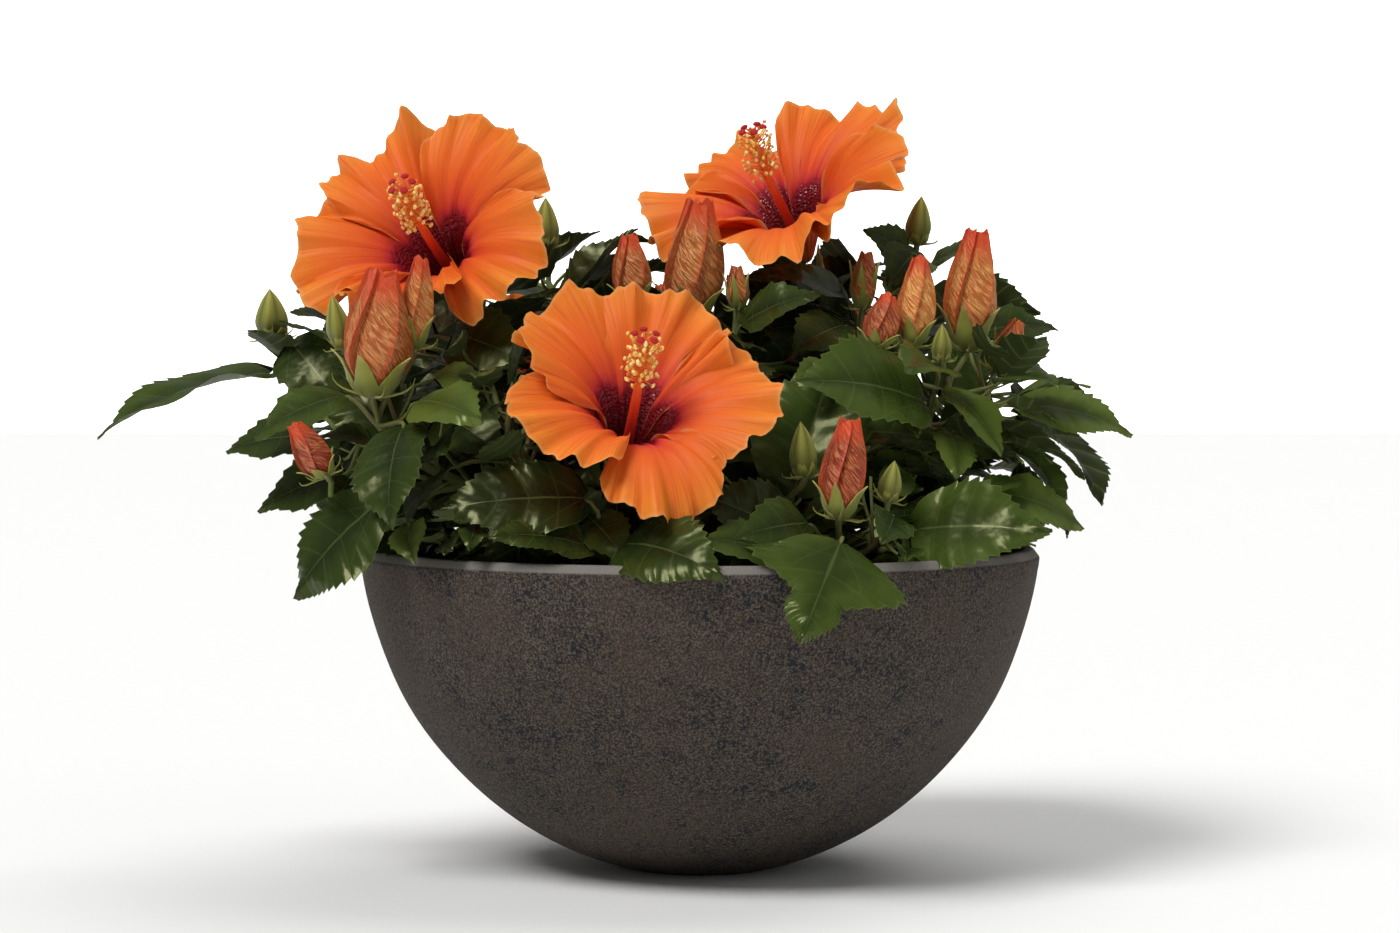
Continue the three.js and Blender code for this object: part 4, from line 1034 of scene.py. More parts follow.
for bloom in blooms.values():
    chance = np.random.default_rng(CALYX_SEED + bloom["seed"])
    foot = bloom["foot"] - CALYX_LENGTH * bloom["axis"]
    add_calyx(foot, bloom["axis"], CALYX_LENGTH + 3, 6.8 * bloom["size"], 2.5, chance)
    shares = np.linspace(0, 1, 14)
    radii = np.interp(shares, [0, 1], BLOOM_STALK_RADII)
    add_limb(green_wood, bloom["stalk"], shares, radii, STEM_SIDES)

# The buds: most are furled, with five crinkled petals wound round each other, and the youngest are closed
# in green. Each stands on its own stalk from the nearest limb. With age, its sepals cover less of its length.
FURLED = np.array([(0.02, 0), (0.24, 0.05), (0.44, 0.2), (0.5, 0.38), (0.43, 0.64), (0.29, 0.87), (0.22, 1)])
CLOSED = np.array([(0.1, 0), (0.34, 0.08), (0.5, 0.36), (0.3, 0.74), (0.02, 1)])
BUD_STALK_RADIUS = 1.3
BUD_TWIST = 0.7
BUD_SEED = 100
CLOSED_RINGS = 22
CLOSED_SIDES = 40
PETAL_STEP = 0.26
FOLD_STEP = 7
FOLD = 0.05
CORE_WIDTH = 0.92
CORE_SPAN = (0.06, 0.88)
WOUND = (0, 0.1, 0.25, 0.4, 0.55, 0.7, 0.85, 0.95, 1)
BUDS = [
    ("left_front", (-137, -88, 209), (-132, -92, 265), 29, 0.34, 0.6),
    ("left_front", (-120, -80, 229), (-117, -84, 270), 14, 0.36, 0.3),
    ("left_front", (-150, -76, 230), (-155, -78, 252), 11, 1, 0),
    ("left_front", (-156, -88, 176), (-170, -96, 199), 15, 0.3, 1),
    ("left_back", (-189, 5, 234), (-191, 5, 256), 15, 1, 0),
    ("centre", (-29, -18, 247), (-31, -19, 281), 17, 0.34, 0.6),
    ("centre", (-5, -6, 240), (0, -8, 298), 26, 0.3, 0.45),
    ("centre", (17, -14, 246), (16, -15, 267), 13, 0.8, 0.7),
    ("right", (116, -27, 228), (121, -26, 284), 23, 0.36, 0.35),
    ("right", (91, -44, 230), (95, -40, 271), 17, 0.3, 0),
    ("right", (75, -56, 229), (81, -52, 254), 15, 0.3, 0.9),
    ("right", (129, -18, 219), (140, -18, 243), 16, 0.7, 0.6),
    ("right", (104, -46, 224), (104, -47, 240), 9, 1, 0),
    ("back_right", (72, 8, 246), (74, 8, 274), 15, 0.8, 0.7),
    ("back_right", (99, 50, 277), (101, 50, 299), 12, 1, 0),
    ("front_right", (57, -115, 159), (62, -112, 203), 19, 0.34, 1),
    ("front_right", (44, -96, 176), (42, -92, 199), 12, 1, 0),
    ("front_right", (78, -100, 166), (81, -98, 183), 10, 1, 0),
    ("back_left", (-69, 40, 275), (-70, 40, 298), 12, 1, 0),
    ("back_left", (-118, 96, 190), (-122, 99, 214), 14, 0.8, 0.6),
    ("back_middle", (-15, 100, 224), (-17, 104, 262), 17, 0.34, 0.4),
    ("back_middle", (28, 78, 240), (28, 80, 262), 12, 1, 0),
    ("back_low", (126, 76, 182), (132, 80, 216), 17, 0.34, 0.5),
]

# The back of a furled petal is crinkled like paper, bronze-orange to russet, with painted gold highlights on
# the crests of the creases, and orange-red at the edge.
# The creases run slantwise over each petal, a few millimetres apart.
CREASE_STEP = 2.1
CREASE_RUN = 8
furled_petal, tree, shader = new_material(
    "furled_petal", {"Roughness": 0.42, "Specular IOR Level": 0.4, "Subsurface Weight": 0.04},
)
wind, climb, rim, redness = (
    add_node(tree, "ShaderNodeAttribute", {"attribute_name": name}).outputs["Fac"]
    for name in ("wind", "climb", "rim", "redness")
)
wound_out = add_node(tree, "ShaderNodeCombineXYZ", links={"X": wind, "Y": climb})
slantwise = add_node(
    tree, "ShaderNodeMapping", {"Scale": (1 / CREASE_RUN, 1 / CREASE_STEP, 1)}, {"Vector": wound_out},
)
paper = add_node(
    tree, "ShaderNodeTexNoise", {"Scale": 1.0, "Detail": 2.0, "Distortion": 0.7}, {"Vector": slantwise},
)
off_crease = add_node(tree, "ShaderNodeMath", {"operation": "SUBTRACT", "Value_001": 0.5}, {"Value": paper})
off_crease = add_node(tree, "ShaderNodeMath", {"operation": "ABSOLUTE"}, {"Value": off_crease})
crest_relief_and_highlight = add_node(tree, "ShaderNodeMapRange", {"From Min": 0.13, "From Max": 0.0}, {"Value": off_crease})
# Each ramp runs from the petal's own tone between the crests to a paler painted highlight on the crests; the
# same mask also raises the crests in the bump.
gilt_with_highlight, russet_with_highlight = (
    add_node(tree, "ShaderNodeValToRGB", {"stops": stops}, {"Fac": crest_relief_and_highlight})
    for stops in (
        [(0.0, "cb722f"), (0.5, "de8d3f"), (1.0, "f2bb70")],
        [(0.0, "862d16"), (0.5, "a24523"), (1.0, "c67647")],
    )
)
flesh = add_node(
    tree, "ShaderNodeMix", {"data_type": "RGBA"},
    {"Factor_Float": redness, "A_Color": gilt_with_highlight, "B_Color": russet_with_highlight},
)
tipped = add_node(
    tree, "ShaderNodeMix", {"data_type": "RGBA", "B_Color": "dd4f26"},
    {"Factor_Float": rim, "A_Color": flesh},
)
crumpled = add_node(tree, "ShaderNodeBump", {"Strength": 0.6, "Distance": 0.8 * MM}, {"Height": crest_relief_and_highlight})
feed(shader, {"Base Color": tipped, "Normal": crumpled})


def flowing(pairs, steps):
    """A smooth row through pairs of width and height."""
    slopes = np.gradient(pairs, axis=0)
    place = np.linspace(0, len(pairs) - 1, steps)
    i = np.minimum(place.astype(int), len(pairs) - 2)
    t = (place - i)[:, None]
    bend = (2 * t**3 - 3 * t**2 + 1) * pairs[i] + (3 * t**2 - 2 * t**3) * pairs[i + 1]
    return bend + (t**3 - 2 * t**2 + t) * slopes[i] + (t**3 - t**2) * slopes[i + 1]


def nearest_node(shoot, spot):
    """The place on a shoot's limbs that lies nearest a spot."""
    shares = np.arange(1, 21) / 20.2
    nodes = np.concatenate([path.spot(begin + (1 - begin) * shares) for path, begin, _ in shoot["limbs"]])
    return nodes[np.argmin(np.linalg.norm(nodes - spot, axis=1))]


def add_furled(bundle, foot, axis, length, width, redness, blush, chance):
    """Five petals wound into a spindle, each with a raised edge and soft folds, closed in a small curl."""
    folds_up = length / FOLD_STEP
    profile = flowing(FURLED, int(6 * folds_up) + 14)
    profile = np.concatenate([profile, [(0.18, 0.985), (0.12, 0.965), (0.05, 0.95)]])
    radius, high = profile[:, :1], profile[:, 1:]
    part = np.tile(WOUND, PETALS)
    petal = np.repeat(np.arange(PETALS), len(WOUND))
    turn = (petal + part) * 2 * math.pi / PETALS + BUD_TWIST * high + chance.uniform(0, 6)
    a, b, c = chance.uniform(0, 6, 3)
    slant = part + 0.3 * np.sin(2 * math.pi * (1.3 * high + 0.5 * part) + a + petal)
    folds = np.sin(2 * math.pi * (folds_up * high + 0.9 * slant) + b + 2 * petal)
    folds = folds * (0.65 + 0.35 * np.sin(2 * math.pi * (2.1 * high + 0.7 * part) + c))
    belly = np.sin(math.pi * np.clip(part * 1.05, 0, 1)) ** 0.6 * np.clip((high - 0.1) / 0.15, 0, 1)
    outer = np.clip(high / 0.3, 0, 1)
    step = PETAL_STEP * (part - 0.55) * outer + 0.05 * (part > 0.9) * outer
    reach = width * (radius * (1 + step) + FOLD * folds * belly * radius)
    ragged = 0.022 * np.sin(petal * 2.4 + a) + 0.018 * np.sin(6 * part + b)
    uneven = ragged * np.clip((high - 0.72) / 0.28, 0, 1) ** 1.5
    out = ring_ways(turn, *upright_frame(axis))
    spots = foot + reach[..., None] * out + (length * (high + uneven))[..., None] * axis
    rim = 0.6 * np.clip((part - 0.9) / 0.08, 0, 1) * outer + np.clip((high - 0.7) / 0.22, 0, 1)
    rim = rim + 1.2 * np.clip(0.3 - high, 0, 1)
    wind = 0.55 * width * part + 50 * petal
    climb = length * high + 0.5 * width * part
    ends = np.array([foot, foot + 0.945 * length * axis])
    bundle.add_round(
        spots, ends, wind=[*(wind + 0 * high).ravel(), 0, 0], climb=[*climb.ravel(), 0, 0],
        rim=[*(blush * np.clip(rim, 0, 1)).ravel(), 1, 1], redness=redness,
    )


def add_closed(foot, axis, length, width, chance):
    """A young bud, whose sepals still meet at the tip along five seams."""
    radius, high = flowing(CLOSED, CLOSED_RINGS).T[:, :, None]
    turn = np.arange(CLOSED_SIDES) * 2 * math.pi / CLOSED_SIDES
    seam = np.abs(np.sin(SEPALS * turn / 2))
    reach = width * radius * (0.82 + 0.18 * seam**0.5 + 0.04 * np.cos(2 * SEPALS * turn))
    out = ring_ways(turn + 0.3 * high, *upright_frame(axis))
    spots = foot + reach[..., None] * out + (length * (high + 0 * turn))[..., None] * axis
    ends = np.array([foot, foot + length * 1.01 * axis])
    calyxes.add_round(spots, ends, along=[*(high * seam).ravel(), 0, 1])
    add_calyx(foot - 0.5 * axis, axis, 0.35 * length, 0.42 * width, 0.5, chance)


furled = Bundle()
for place, (name, foot, top, width, sepals, redness) in enumerate(BUDS):
    chance = np.random.default_rng(BUD_SEED + place)
    foot, top = np.array(foot, float), np.array(top, float)
    axis, length = unit(top - foot), np.linalg.norm(top - foot)
    if sepals == 1:
        add_closed(foot, axis, length, width, chance)
    else:
        hidden = max(0, sepals - 0.4)
        core, blush = CORE_WIDTH * width * (1 - 0.5 * hidden), 1 - 2 * hidden
        start, tall = CORE_SPAN[0] * length, CORE_SPAN[1] * length
        add_furled(furled, foot + start * axis, axis, tall, core, redness, blush, chance)
        add_calyx(foot, axis, sepals * length, 0.36 * width, 0.4 * width * (1 - 0.9 * sepals), chance)
    node = nearest_node(shoots[name], foot)
    stalk = Path(node, UP, foot + 2 * axis, axis)
    shares = np.linspace(0, 1, 12)
    add_limb(green_wood, stalk, shares, BUD_STALK_RADIUS * (1 + 0.25 * shares**4), STEM_SIDES)
    room.take_limb(stalk, 0, 1, BUD_STALK_RADIUS + STALK_CLEARANCE, name + "_bud")
    room.take(foot + np.linspace(0, 1, 7)[:, None] * (top - foot), width * 0.45 + 0.8, name + "_bud")
shoot_nodes = ["shoot_" + name for name in shoots]
settle(furled.piece("furled_buds", [furled_petal], 50), shoot_nodes)
settle(calyxes.piece("calyxes_and_bracts", [calyx_down]), shoot_nodes)

# The leaves grow along every limb by the golden angle. Each is a glossy toothed blade on its own stalk, with
# its face turned up and outward. A leaf that finds no room among what has grown already is left out.
LEAF_LENGTHS = (52.5, 74.2)
LEAF_BREADTHS = (0.594, 0.739)
LEAF_ROLLS = (-0.45, 0.45)
LEAF_BENDS = (0.35, 0.85)
LEAF_FOLDS = (0.12, 0.42)
LEAF_DROOPS = (-0.25, 0.7)
STALK_LENGTHS = (12, 28)
STALK_RADIUS = 1.2
LEAF_STEP = 9
ANGLE_STRAY = (-0.3, 0.3)
LEAF_CLEARANCE = 2.7
LEAF_OVER_BOWL = 4
STALK_OVER_BOWL = 2
LEAF_TRIES = 30
TRY_TURN = 0.83
TRY_SHORTER = 0.016
TRY_FURTHER = 0.5
CROWN_TOP = 288
CROWN_FOOT = 138
CROWN_DOME = 0.00115
CROWN_SPREAD = (184, 165)
# The last column is each leaf's tone: partly its age, partly painted light and shade, a paler green for
# leaves that stand in the light and a darker one for leaves in shade.
OUTSTANDING_LEAVES = [
    ("left_back", (-190, -6, 218), (-261, -38, 191), 0.5, 20, 34, 14, 0, 2),
    ("left_back", (-184, 0, 226), (-198, -18, 238), 0.9, 40, 30, 14, 0, 2),
    ("left_back", (-156, -8, 226), (-184, -20, 242), 0.66, 30, 34, 12, 0, 1),
    ("left_front", (-136, -86, 164), (-172, -78, 124), 0.8, 30, 30, 8, 0, 1),
    ("left_front", (-150, -76, 210), (-188, -82, 192), 0.6, 25, 34, 14, 0, 2),
    ("left_front", (-152, -56, 176), (-190, -54, 160), 0.7, 30, 34, 12, 0, 1),
    ("left_front", (-123, -104, 197), (-126, -130, 156), 0.74, 0, 40, 14, 0, 1),
    ("left_front", (-164, -62, 192), (-202, -64, 186), 0.7, 30, 36, 16, 0, 1),
    ("front_left", (-106, -38, 236), (-74, -64, 224), 0.72, -20, 30, 12, 0, 1),
    ("front_left", (-110, -66, 202), (-82, -90, 184), 0.7, 0, 34, 12, 0, 1),
    ("front_middle", (-48, -112, 168), (-110, -120, 163), 0.56, 25, 30, 14, 0, 0),
    ("front_middle", (-46, -104, 160), (-30, -124, 143), 0.7, 0, 30, 12, 0, 1),
    ("front_middle", (-46, -118, 148), (-86, -134, 153), 0.6, 10, 40, 16, 0, 1),
    ("front_middle", (-32, -118, 149), (10, -158, 138), 0.62, -10, 50, 14, 0, 1),
    ("front_right", (57, -136, 151), (40, -170, 114), 0.92, 0, 20, 6, 1, 2),
    ("front_right", (38, -100, 152), (-2, -112, 170), 0.72, 20, 24, 10, 0, 0),
    ("right", (95, -66, 207), (38, -96, 216), 0.72, 15, 34, 12, 0, 2),
    ("right", (138, -24, 205), (190, -18, 192), 0.64, -25, 34, 14, 0, 3),
    ("right", (104, -58, 212), (128, -74, 184), 0.7, -10, 40, 14, 0, 3),
    ("right", (124, 6, 236), (160, 12, 238), 0.66, -30, 44, 14, 0, 1),
    ("right_low", (90, -92, 154), (144, -116, 154), 0.66, -46, 36, 12, 0, 2),
    ("right_low", (128, -56, 168), (166, -44, 152), 0.66, -20, 36, 12, 0, 3),
    ("back_left", (-60, 26, 248), (-28, 30, 284), 0.5, -40, 20, 40, 0, 0),
    ("back_left", (-72, 56, 262), (-46, 66, 284), 0.66, 0, 30, 20, 0, 1),
    ("centre", (18, -22, 240), (52, -36, 254), 0.62, -20, 30, 16, 0, 1),
    ("back_right", (66, 20, 252), (20, 12, 262), 0.72, 25, 40, 12, 0, 1),
    ("back_right", (64, 0, 240), (40, -24, 228), 0.72, 0, 30, 12, 0, 1),
    ("back_right", (74, 56, 266), (52, 84, 270), 0.7, 0, 40, 16, 0, 0),
    ("back_right", (95, 42, 270), (74, 32, 284), 0.8, 60, 30, 12, 0, 1),
    ("back_right", (105, 42, 268), (128, 34, 276), 0.74, -60, 30, 12, 0, 2),
    ("back_right", (54, 40, 256), (24, 30, 270), 0.72, 50, 30, 12, 0, 1),
    ("back_right", (64, 44, 260), (86, 30, 268), 0.7, -50, 30, 12, 0, 1),
    ("left_back", (-180, -6, 232), (-158, -26, 208), 0.8, 0, 30, 14, 0, 1),
    ("left_back", (-174, 2, 226), (-172, -10, 194), 0.8, 0, 30, 14, 0, 1),
    ("left_front", (-110, -58, 152), (-150, -42, 148), 0.7, 20, 30, 12, 0, 0),
    ("left_back", (-138, 40, 204), (-100, 46, 222), 0.8, -60, 30, 12, 0, 0),
    ("left_back", (-116, 34, 190), (-142, 30, 206), 0.8, 60, 30, 12, 0, 0),
    ("back_right", (68, 38, 242), (36, 32, 254), 0.8, 65, 30, 12, 0, 0),
    ("back_right", (98, 38, 274), (84, 18, 258), 0.8, 0, 30, 14, 0, 1),
    ("back_right", (72, 62, 256), (44, 64, 267), 0.8, 70, 30, 12, 0, 0),
    ("back_right", (46, 36, 247), (12, 34, 263), 0.8, 60, 30, 12, 0, 0),
    ("left_back", (-150, -12, 236), (-178, -30, 246), 0.8, 50, 30, 12, 0, 1),
    ("left_back", (-140, -2, 242), (-154, -12, 260), 0.8, 40, 30, 12, 0, 1),
    ("left_back", (-124, 26, 230), (-98, 30, 250), 0.85, -60, 30, 12, 0, 0),
    ("back_middle", (24, 84, 222), (58, 86, 236), 0.9, -65, 30, 12, 0, 0),
    ("back_low", (76, 82, 216), (42, 82, 212), 0.9, 65, 30, 12, 0, 0),
    ("back_left", (-112, 78, 214), (-140, 70, 232), 0.9, 60, 30, 12, 0, 0),
    ("back_right", (57, 22, 240), (26, 20, 237), 0.85, 65, 30, 12, 0, 0),
    ("back_right", (68, 30, 229), (38, 26, 221), 0.85, 65, 30, 12, 0, 0),
]
CLEAR_VIEW = [(-8, -40, 256), (-2, -42, 272)]
CLEAR_VIEW_ROOM = 10
# A spray's tone is painted shade and light as well as age: darker for the sprays in the middle of the crown,
# paler for the right-hand sprays.
SPRAY_TONES = dict(zip(SHOOTS, (1, 1, 0, 0, 1, 2, 2, 1, 1, 0, 1, 0)))


def seeded(seed):
    """Repeatable numbers from 0 to 1, the same for the same seed."""
    state = seed & 0xFFFFFFFF
    while True:
        state = (state + 0x6D2B79F5) & 0xFFFFFFFF
        mixed = ((state ^ (state >> 15)) * (1 | state)) & 0xFFFFFFFF
        mixed = ((mixed + ((mixed ^ (mixed >> 7)) * (61 | mixed))) & 0xFFFFFFFF) ^ mixed
        yield (mixed ^ (mixed >> 14)) / 4294967296


def between(span, draw):
    """The next drawn place between a least and a most."""
    return span[0] + (span[1] - span[0]) * next(draw)


def clear_of_bowl(spots, margin):
    """Whether spots stay clear of the bowl and the soil by a margin."""
    reach, height = np.hypot(spots[:, 0], spots[:, 1]), spots[:, 2]
    within = (reach < wall_radius(height, WALL) - margin) & (height > SOIL_LEVEL + margin)
    return (within | (reach > wall_radius(height, 0) + margin) | (height > BOWL_HEIGHT + margin)).all()


def inside_crown(spots):
    """Whether spots lie under the crown's dome and inside its spread."""
    spread = ((spots[:, :2] / CROWN_SPREAD) ** 2).sum(1)
    reach = np.hypot(spots[:, 0], spots[:, 1])
    over_rim = (reach < BULGE_RADIUS - WALL) | (spots[:, 2] > CROWN_FOOT)
    return ((spread < 1) & over_rim & (spots[:, 2] < CROWN_TOP - CROWN_DOME * reach**2)).all()


def leaf_outline(share, lobe):
    """The half width of a leaf along its length, as a share of its widest, with its side lobes."""
    plain = share**0.52 * (1 - share) ** 0.95 / 0.385
    side = np.exp(-(((share - 0.36) / 0.11) ** 2)) - 1.6 * np.exp(-(((share - 0.6) / 0.13) ** 2))
    return plain * (1 + 0.22 * lobe * side)


def leaf_spots(leaf, along, across, rise):
    """Spots on a leaf by the share along it, the distance from its midrib and the height over its face."""
    turn = leaf["bend"] * along
    lift = np.abs(across) * math.sin(leaf["fold"]) + rise
    run = leaf["length"] * np.sin(turn) / leaf["bend"] + lift * np.sin(turn)
    high = lift * np.cos(turn) - leaf["length"] * (1 - np.cos(turn)) / leaf["bend"]
    side = across * math.cos(leaf["fold"])
    parts = ((run, leaf["ahead"]), (high, leaf["facing"]), (side, leaf["side"]))
    return leaf["base"] + sum(amount[..., None] * way for amount, way in parts)


def leaf_between(base, tip, breadth, roll, bend, fold, lobe=0):
    """A leaf with its base and tip given: it turns its face up and outward, then rolls about its length."""
    chord = tip - base
    along = unit(chord)
    level = square_to(0.6 * unit(base * [1, 1, 0]) + 0.8 * UP, along)
    face = turned_about(level, along, -roll)
    length = np.linalg.norm(chord) * bend * 0.5 / math.sin(bend * 0.5)
    ahead = along * math.cos(bend / 2) + face * math.sin(bend / 2)
    over = face * math.cos(bend / 2) - along * math.sin(bend / 2)
    shape = {"length": length, "width": length * breadth, "bend": bend, "fold": fold, "lobe": lobe}
    return shape | {"base": base, "ahead": ahead, "facing": over, "side": np.cross(over, ahead)}


BALL_ALONG, BALL_ACROSS = np.meshgrid(np.arange(1, 10) / 9, np.arange(-3, 4) / 3, indexing="ij")


def leaf_balls(leaf):
    """The balls that stand for a leaf: nine along and seven across."""
    half = 0.5 * leaf["width"] * leaf_outline(BALL_ALONG, leaf["lobe"])
    return leaf_spots(leaf, BALL_ALONG, BALL_ACROSS * half, 0).reshape(-1, 3)


STALK_CHECKS = np.array([0.25, 0.4, 0.6, 0.8, 1])[:, None]


def drawn_leaf(base, away, length, draw):
    """A leaf of a length that runs away from its base, with its droop and shape drawn by chance."""
    droop = between(LEAF_DROOPS, draw)
    tip = base + length * math.cos(droop) * away - length * math.sin(droop) * UP
    spans = (LEAF_BREADTHS, LEAF_ROLLS, LEAF_BENDS, LEAF_FOLDS)
    return leaf_between(base, tip, *[between(span, draw) for span in spans])


def leaf_fits(leaf, node, clearance, owner):
    """Whether a leaf and its stalk find room in the crown."""
    balls = leaf_balls(leaf)
    stalk = node + STALK_CHECKS * (leaf["base"] - node)
    if not (inside_crown(balls) and clear_of_bowl(balls, LEAF_OVER_BOWL)):
        return False
    if not clear_of_bowl(stalk, STALK_OVER_BOWL):
        return False
    return room.free(balls, clearance) and room.free(stalk, STALK_RADIUS + STALK_CLEARANCE, owner)


def take_leaf(leaf, node, clearance):
    """Fills the room that a leaf and its stalk need."""
    room.take(leaf_balls(leaf), clearance, "leaf")
    way = leaf["base"] - node
    steps = math.ceil(0.85 * np.linalg.norm(way) / 4)
    room.take(node + np.linspace(0.15, 1, steps + 1)[:, None] * way, STALK_RADIUS + STALK_CLEARANCE, "leaf")


leaves = []
for name, base, tip, breadth, roll, bend, fold, lobe, tone in OUTSTANDING_LEAVES:
    base, tip = np.array(base, float), np.array(tip, float)
    leaf = leaf_between(base, tip, breadth, *np.radians([roll, bend, fold]), lobe)
    node = nearest_node(shoots[name], base)
    take_leaf(leaf, node, LEAF_CLEARANCE)
    leaves.append((leaf, node, tone, STALK_RADIUS))
room.take(CLEAR_VIEW, CLEAR_VIEW_ROOM, "open")
for name, shoot in shoots.items():
    for limb_place, (path, begin, _) in enumerate(shoot["limbs"]):
        count = max(2, math.floor(path.length * (1 - begin) / LEAF_STEP + 0.5))
        for place in range(count):
            draw = seeded(shoot["seed"] * 10007 + limb_place * 1009 + place * 101)
            share = 0.08 + 0.9 * (place + 0.6) / count
            at = begin + (1 - begin) * min(share, 0.97)
            node, along = path.spot(at), path.heading(at)
            across = upright_frame(along)[0]
            outward = unit(node * [1, 1, 0])
            for attempt in range(LEAF_TRIES):
                angle = place * GOLDEN_ANGLE + attempt * TRY_TURN + between(ANGLE_STRAY, draw)
                young = 1.08 - 0.42 * share**3
                length = between(LEAF_LENGTHS, draw) * young * (1 - TRY_SHORTER * attempt)
                reach = between(STALK_LENGTHS, draw) + TRY_FURTHER * attempt
                away = turned_about(across, along, angle) + 0.45 * outward
                away = unit(away * [1, 1, 0.5])
                leaf = drawn_leaf(node + 0.8 * reach * away + 0.5 * reach * along, away, length, draw)
                if leaf_fits(leaf, node, LEAF_CLEARANCE, name):
                    take_leaf(leaf, node, LEAF_CLEARANCE)
                    leaves.append((leaf, node, min(2, SPRAY_TONES[name] + limb_place % 2), STALK_RADIUS))
                    break

# The same rule goes on to finer twigs inside the same crown. Each carries up to three young leaves, which
# fill the gaps between the full-grown ones.
FINE_STEP = 3.2
FINE_TRIES = 16
FINE_TWIGS = (8, 34)
FINE_TWIG_RADIUS = 0.7
FINE_STALK_RADIUS = 0.6
FINE_LENGTHS = (24, 50)
FINE_STALKS = (4, 10)
FINE_CLEARANCE = 1.5
FINE_SHARES = (0.5, 0.78, 1)
FINE_TURNS = (0.6, 1.2)
BUD_ROOM = 5
for name, foot, top, width, *_ in BUDS:
    room.take(np.linspace(foot, top, 7), 0.5 * width + BUD_ROOM, name + "_bud")
for name, shoot in shoots.items():
    for limb_place, (path, begin, _) in enumerate(shoot["limbs"]):
        count = math.ceil(path.length * (1 - begin) / FINE_STEP)
        for place in range(count):
            draw = seeded(shoot["seed"] * 20011 + limb_place * 1013 + place * 103)
            at = begin + (1 - begin) * (0.06 + 0.9 * (place + 0.5) / count)
            node, along = path.spot(at), path.heading(at)
            across = upright_frame(along)[0]
            outward = unit(node * [1, 1, 0])
            for attempt in range(FINE_TRIES):
                angle = place * GOLDEN_ANGLE + attempt * TRY_TURN + between(ANGLE_STRAY, draw)
                away = turned_about(across, along, angle) + 0.3 * outward
                away = unit(away * [1, 1, 0.6] + 0.25 * along)
                end = node + between(FINE_TWIGS, draw) * away
                twig = Path(node, unit(away + 0.4 * along), end, unit(away + 0.5 * UP))
                grown_here = []
                for k, share in enumerate(FINE_SHARES):
                    fork = twig.spot(share)
                    turn = (-1) ** k * (1.3 - share) * between(FINE_TURNS, draw)
                    aside = turned_about(square_to(away, UP), UP, turn)
                    base = fork + between(FINE_STALKS, draw) * unit(aside + 0.4 * UP)
                    length = between(FINE_LENGTHS, draw) * (1 - 0.025 * attempt)
                    leaf = drawn_leaf(base, aside, length, draw)
                    if leaf_fits(leaf, fork, FINE_CLEARANCE, name):
                        take_leaf(leaf, fork, FINE_CLEARANCE)
                        grown_here.append((leaf, fork, min(3, SPRAY_TONES[name] + k), FINE_STALK_RADIUS))
                if grown_here:
                    leaves += grown_here
                    shares = np.linspace(0, 1, 8)
                    radii = np.interp(shares, [0, 1], [1.2 * FINE_TWIG_RADIUS, FINE_TWIG_RADIUS])
                    add_limb(green_wood, twig, shares, radii, TWIG_SIDES)
                    break

# A leaf blade's rows follow its side veins from the midrib out to the teeth, and it is quilted between them.
# Its foot is rounded and notched at the stalk, and its tip is drawn out.
TOOTH = 0.13
TOOTH_LEAN = 0.012
FOOT_NOTCH = 0.07
DRAWN_TIP = 0.3
VEINS = 5
RAY = 0.7
QUILT = 1.5
EDGE_WAVE = 1.8
BLADE_THICKNESS = 0.55
FULL_LENGTH = 44
RELIEF_LENGTH = 64
FULL_GROWN = (14, ((0, 0), (0.5, 0.5), (0.85, 1)), (1, 0.74, 0.4, 0.05, -0.05, -0.4, -0.74, -1))
SMALL = (8, ((0, 0), (0.75, 1)), (1, 0.55, 0.06, -0.06, -0.55, -1))


def blade(leaf, chance):
    """Spots, faces, sides of the faces and values of one toothed leaf."""
    teeth, tooth_rows, columns = FULL_GROWN if leaf["length"] > FULL_LENGTH else SMALL
    teeth = round(teeth * (1 + 0.6 * leaf["lobe"]))
    rows = [((k + share) / teeth, high) for k in range(teeth) for share, high in tooth_rows]
    rows = np.array([*rows, (1, 0)])
    middle = (0.008 + 0.987 * rows[:, :1]) * np.ones(len(columns))
    t = np.ones((len(rows), 1)) * np.array(columns)
    side = np.abs(t)
    tooth = rows[:, 1:] * np.clip((middle - 0.08) / 0.2, 0, 1)
    sweep = 0.5 * middle * (1 - middle)
    along = middle + sweep * side**1.2 - FOOT_NOTCH * side * (1 - middle) ** 10 + TOOTH_LEAN * tooth * side**6
    edge = np.clip(middle + sweep, 0.012, 1)
    half = 0.5 * leaf["width"] * leaf_outline(edge, 1.4 * leaf["lobe"]) * (1 + TOOTH * tooth)
    half = half * (1 - DRAWN_TIP * np.clip((edge - 0.6) / 0.3, 0, 1))
    scale = leaf["length"] / RELIEF_LENGTH
    vein = VEINS * middle**0.9
    puffed = QUILT * np.sin(math.pi * vein) ** 2 * side**0.6 * (1 - side**3)
    phase = chance.uniform(0, 6, 2)
    wave = np.sin((9 + 3 * (t > 0)) * along + np.where(t > 0, *phase)) * side**2.5
    droop = chance.uniform(0.02, 0.09) * leaf["width"] * side**2 / scale
    rise = scale * (puffed + EDGE_WAVE * wave * np.clip(6 * (1 - middle), 0, 1) - droop)
    upper = leaf_spots(leaf, along, t * half, rise).reshape(-1, 3)
    lower = leaf_spots(leaf, along, t * half, rise - BLADE_THICKNESS).reshape(-1, 3)
    faces, inner = blade_net(len(rows), len(columns))
    sides = np.repeat([0, 1], len(faces) // 2)
    ray = side * half - RAY * along * leaf["length"]
    values = on_both(inner, vein=vein, across=t, ray=ray)
    return np.concatenate([upper, lower[inner]]), faces, sides, values
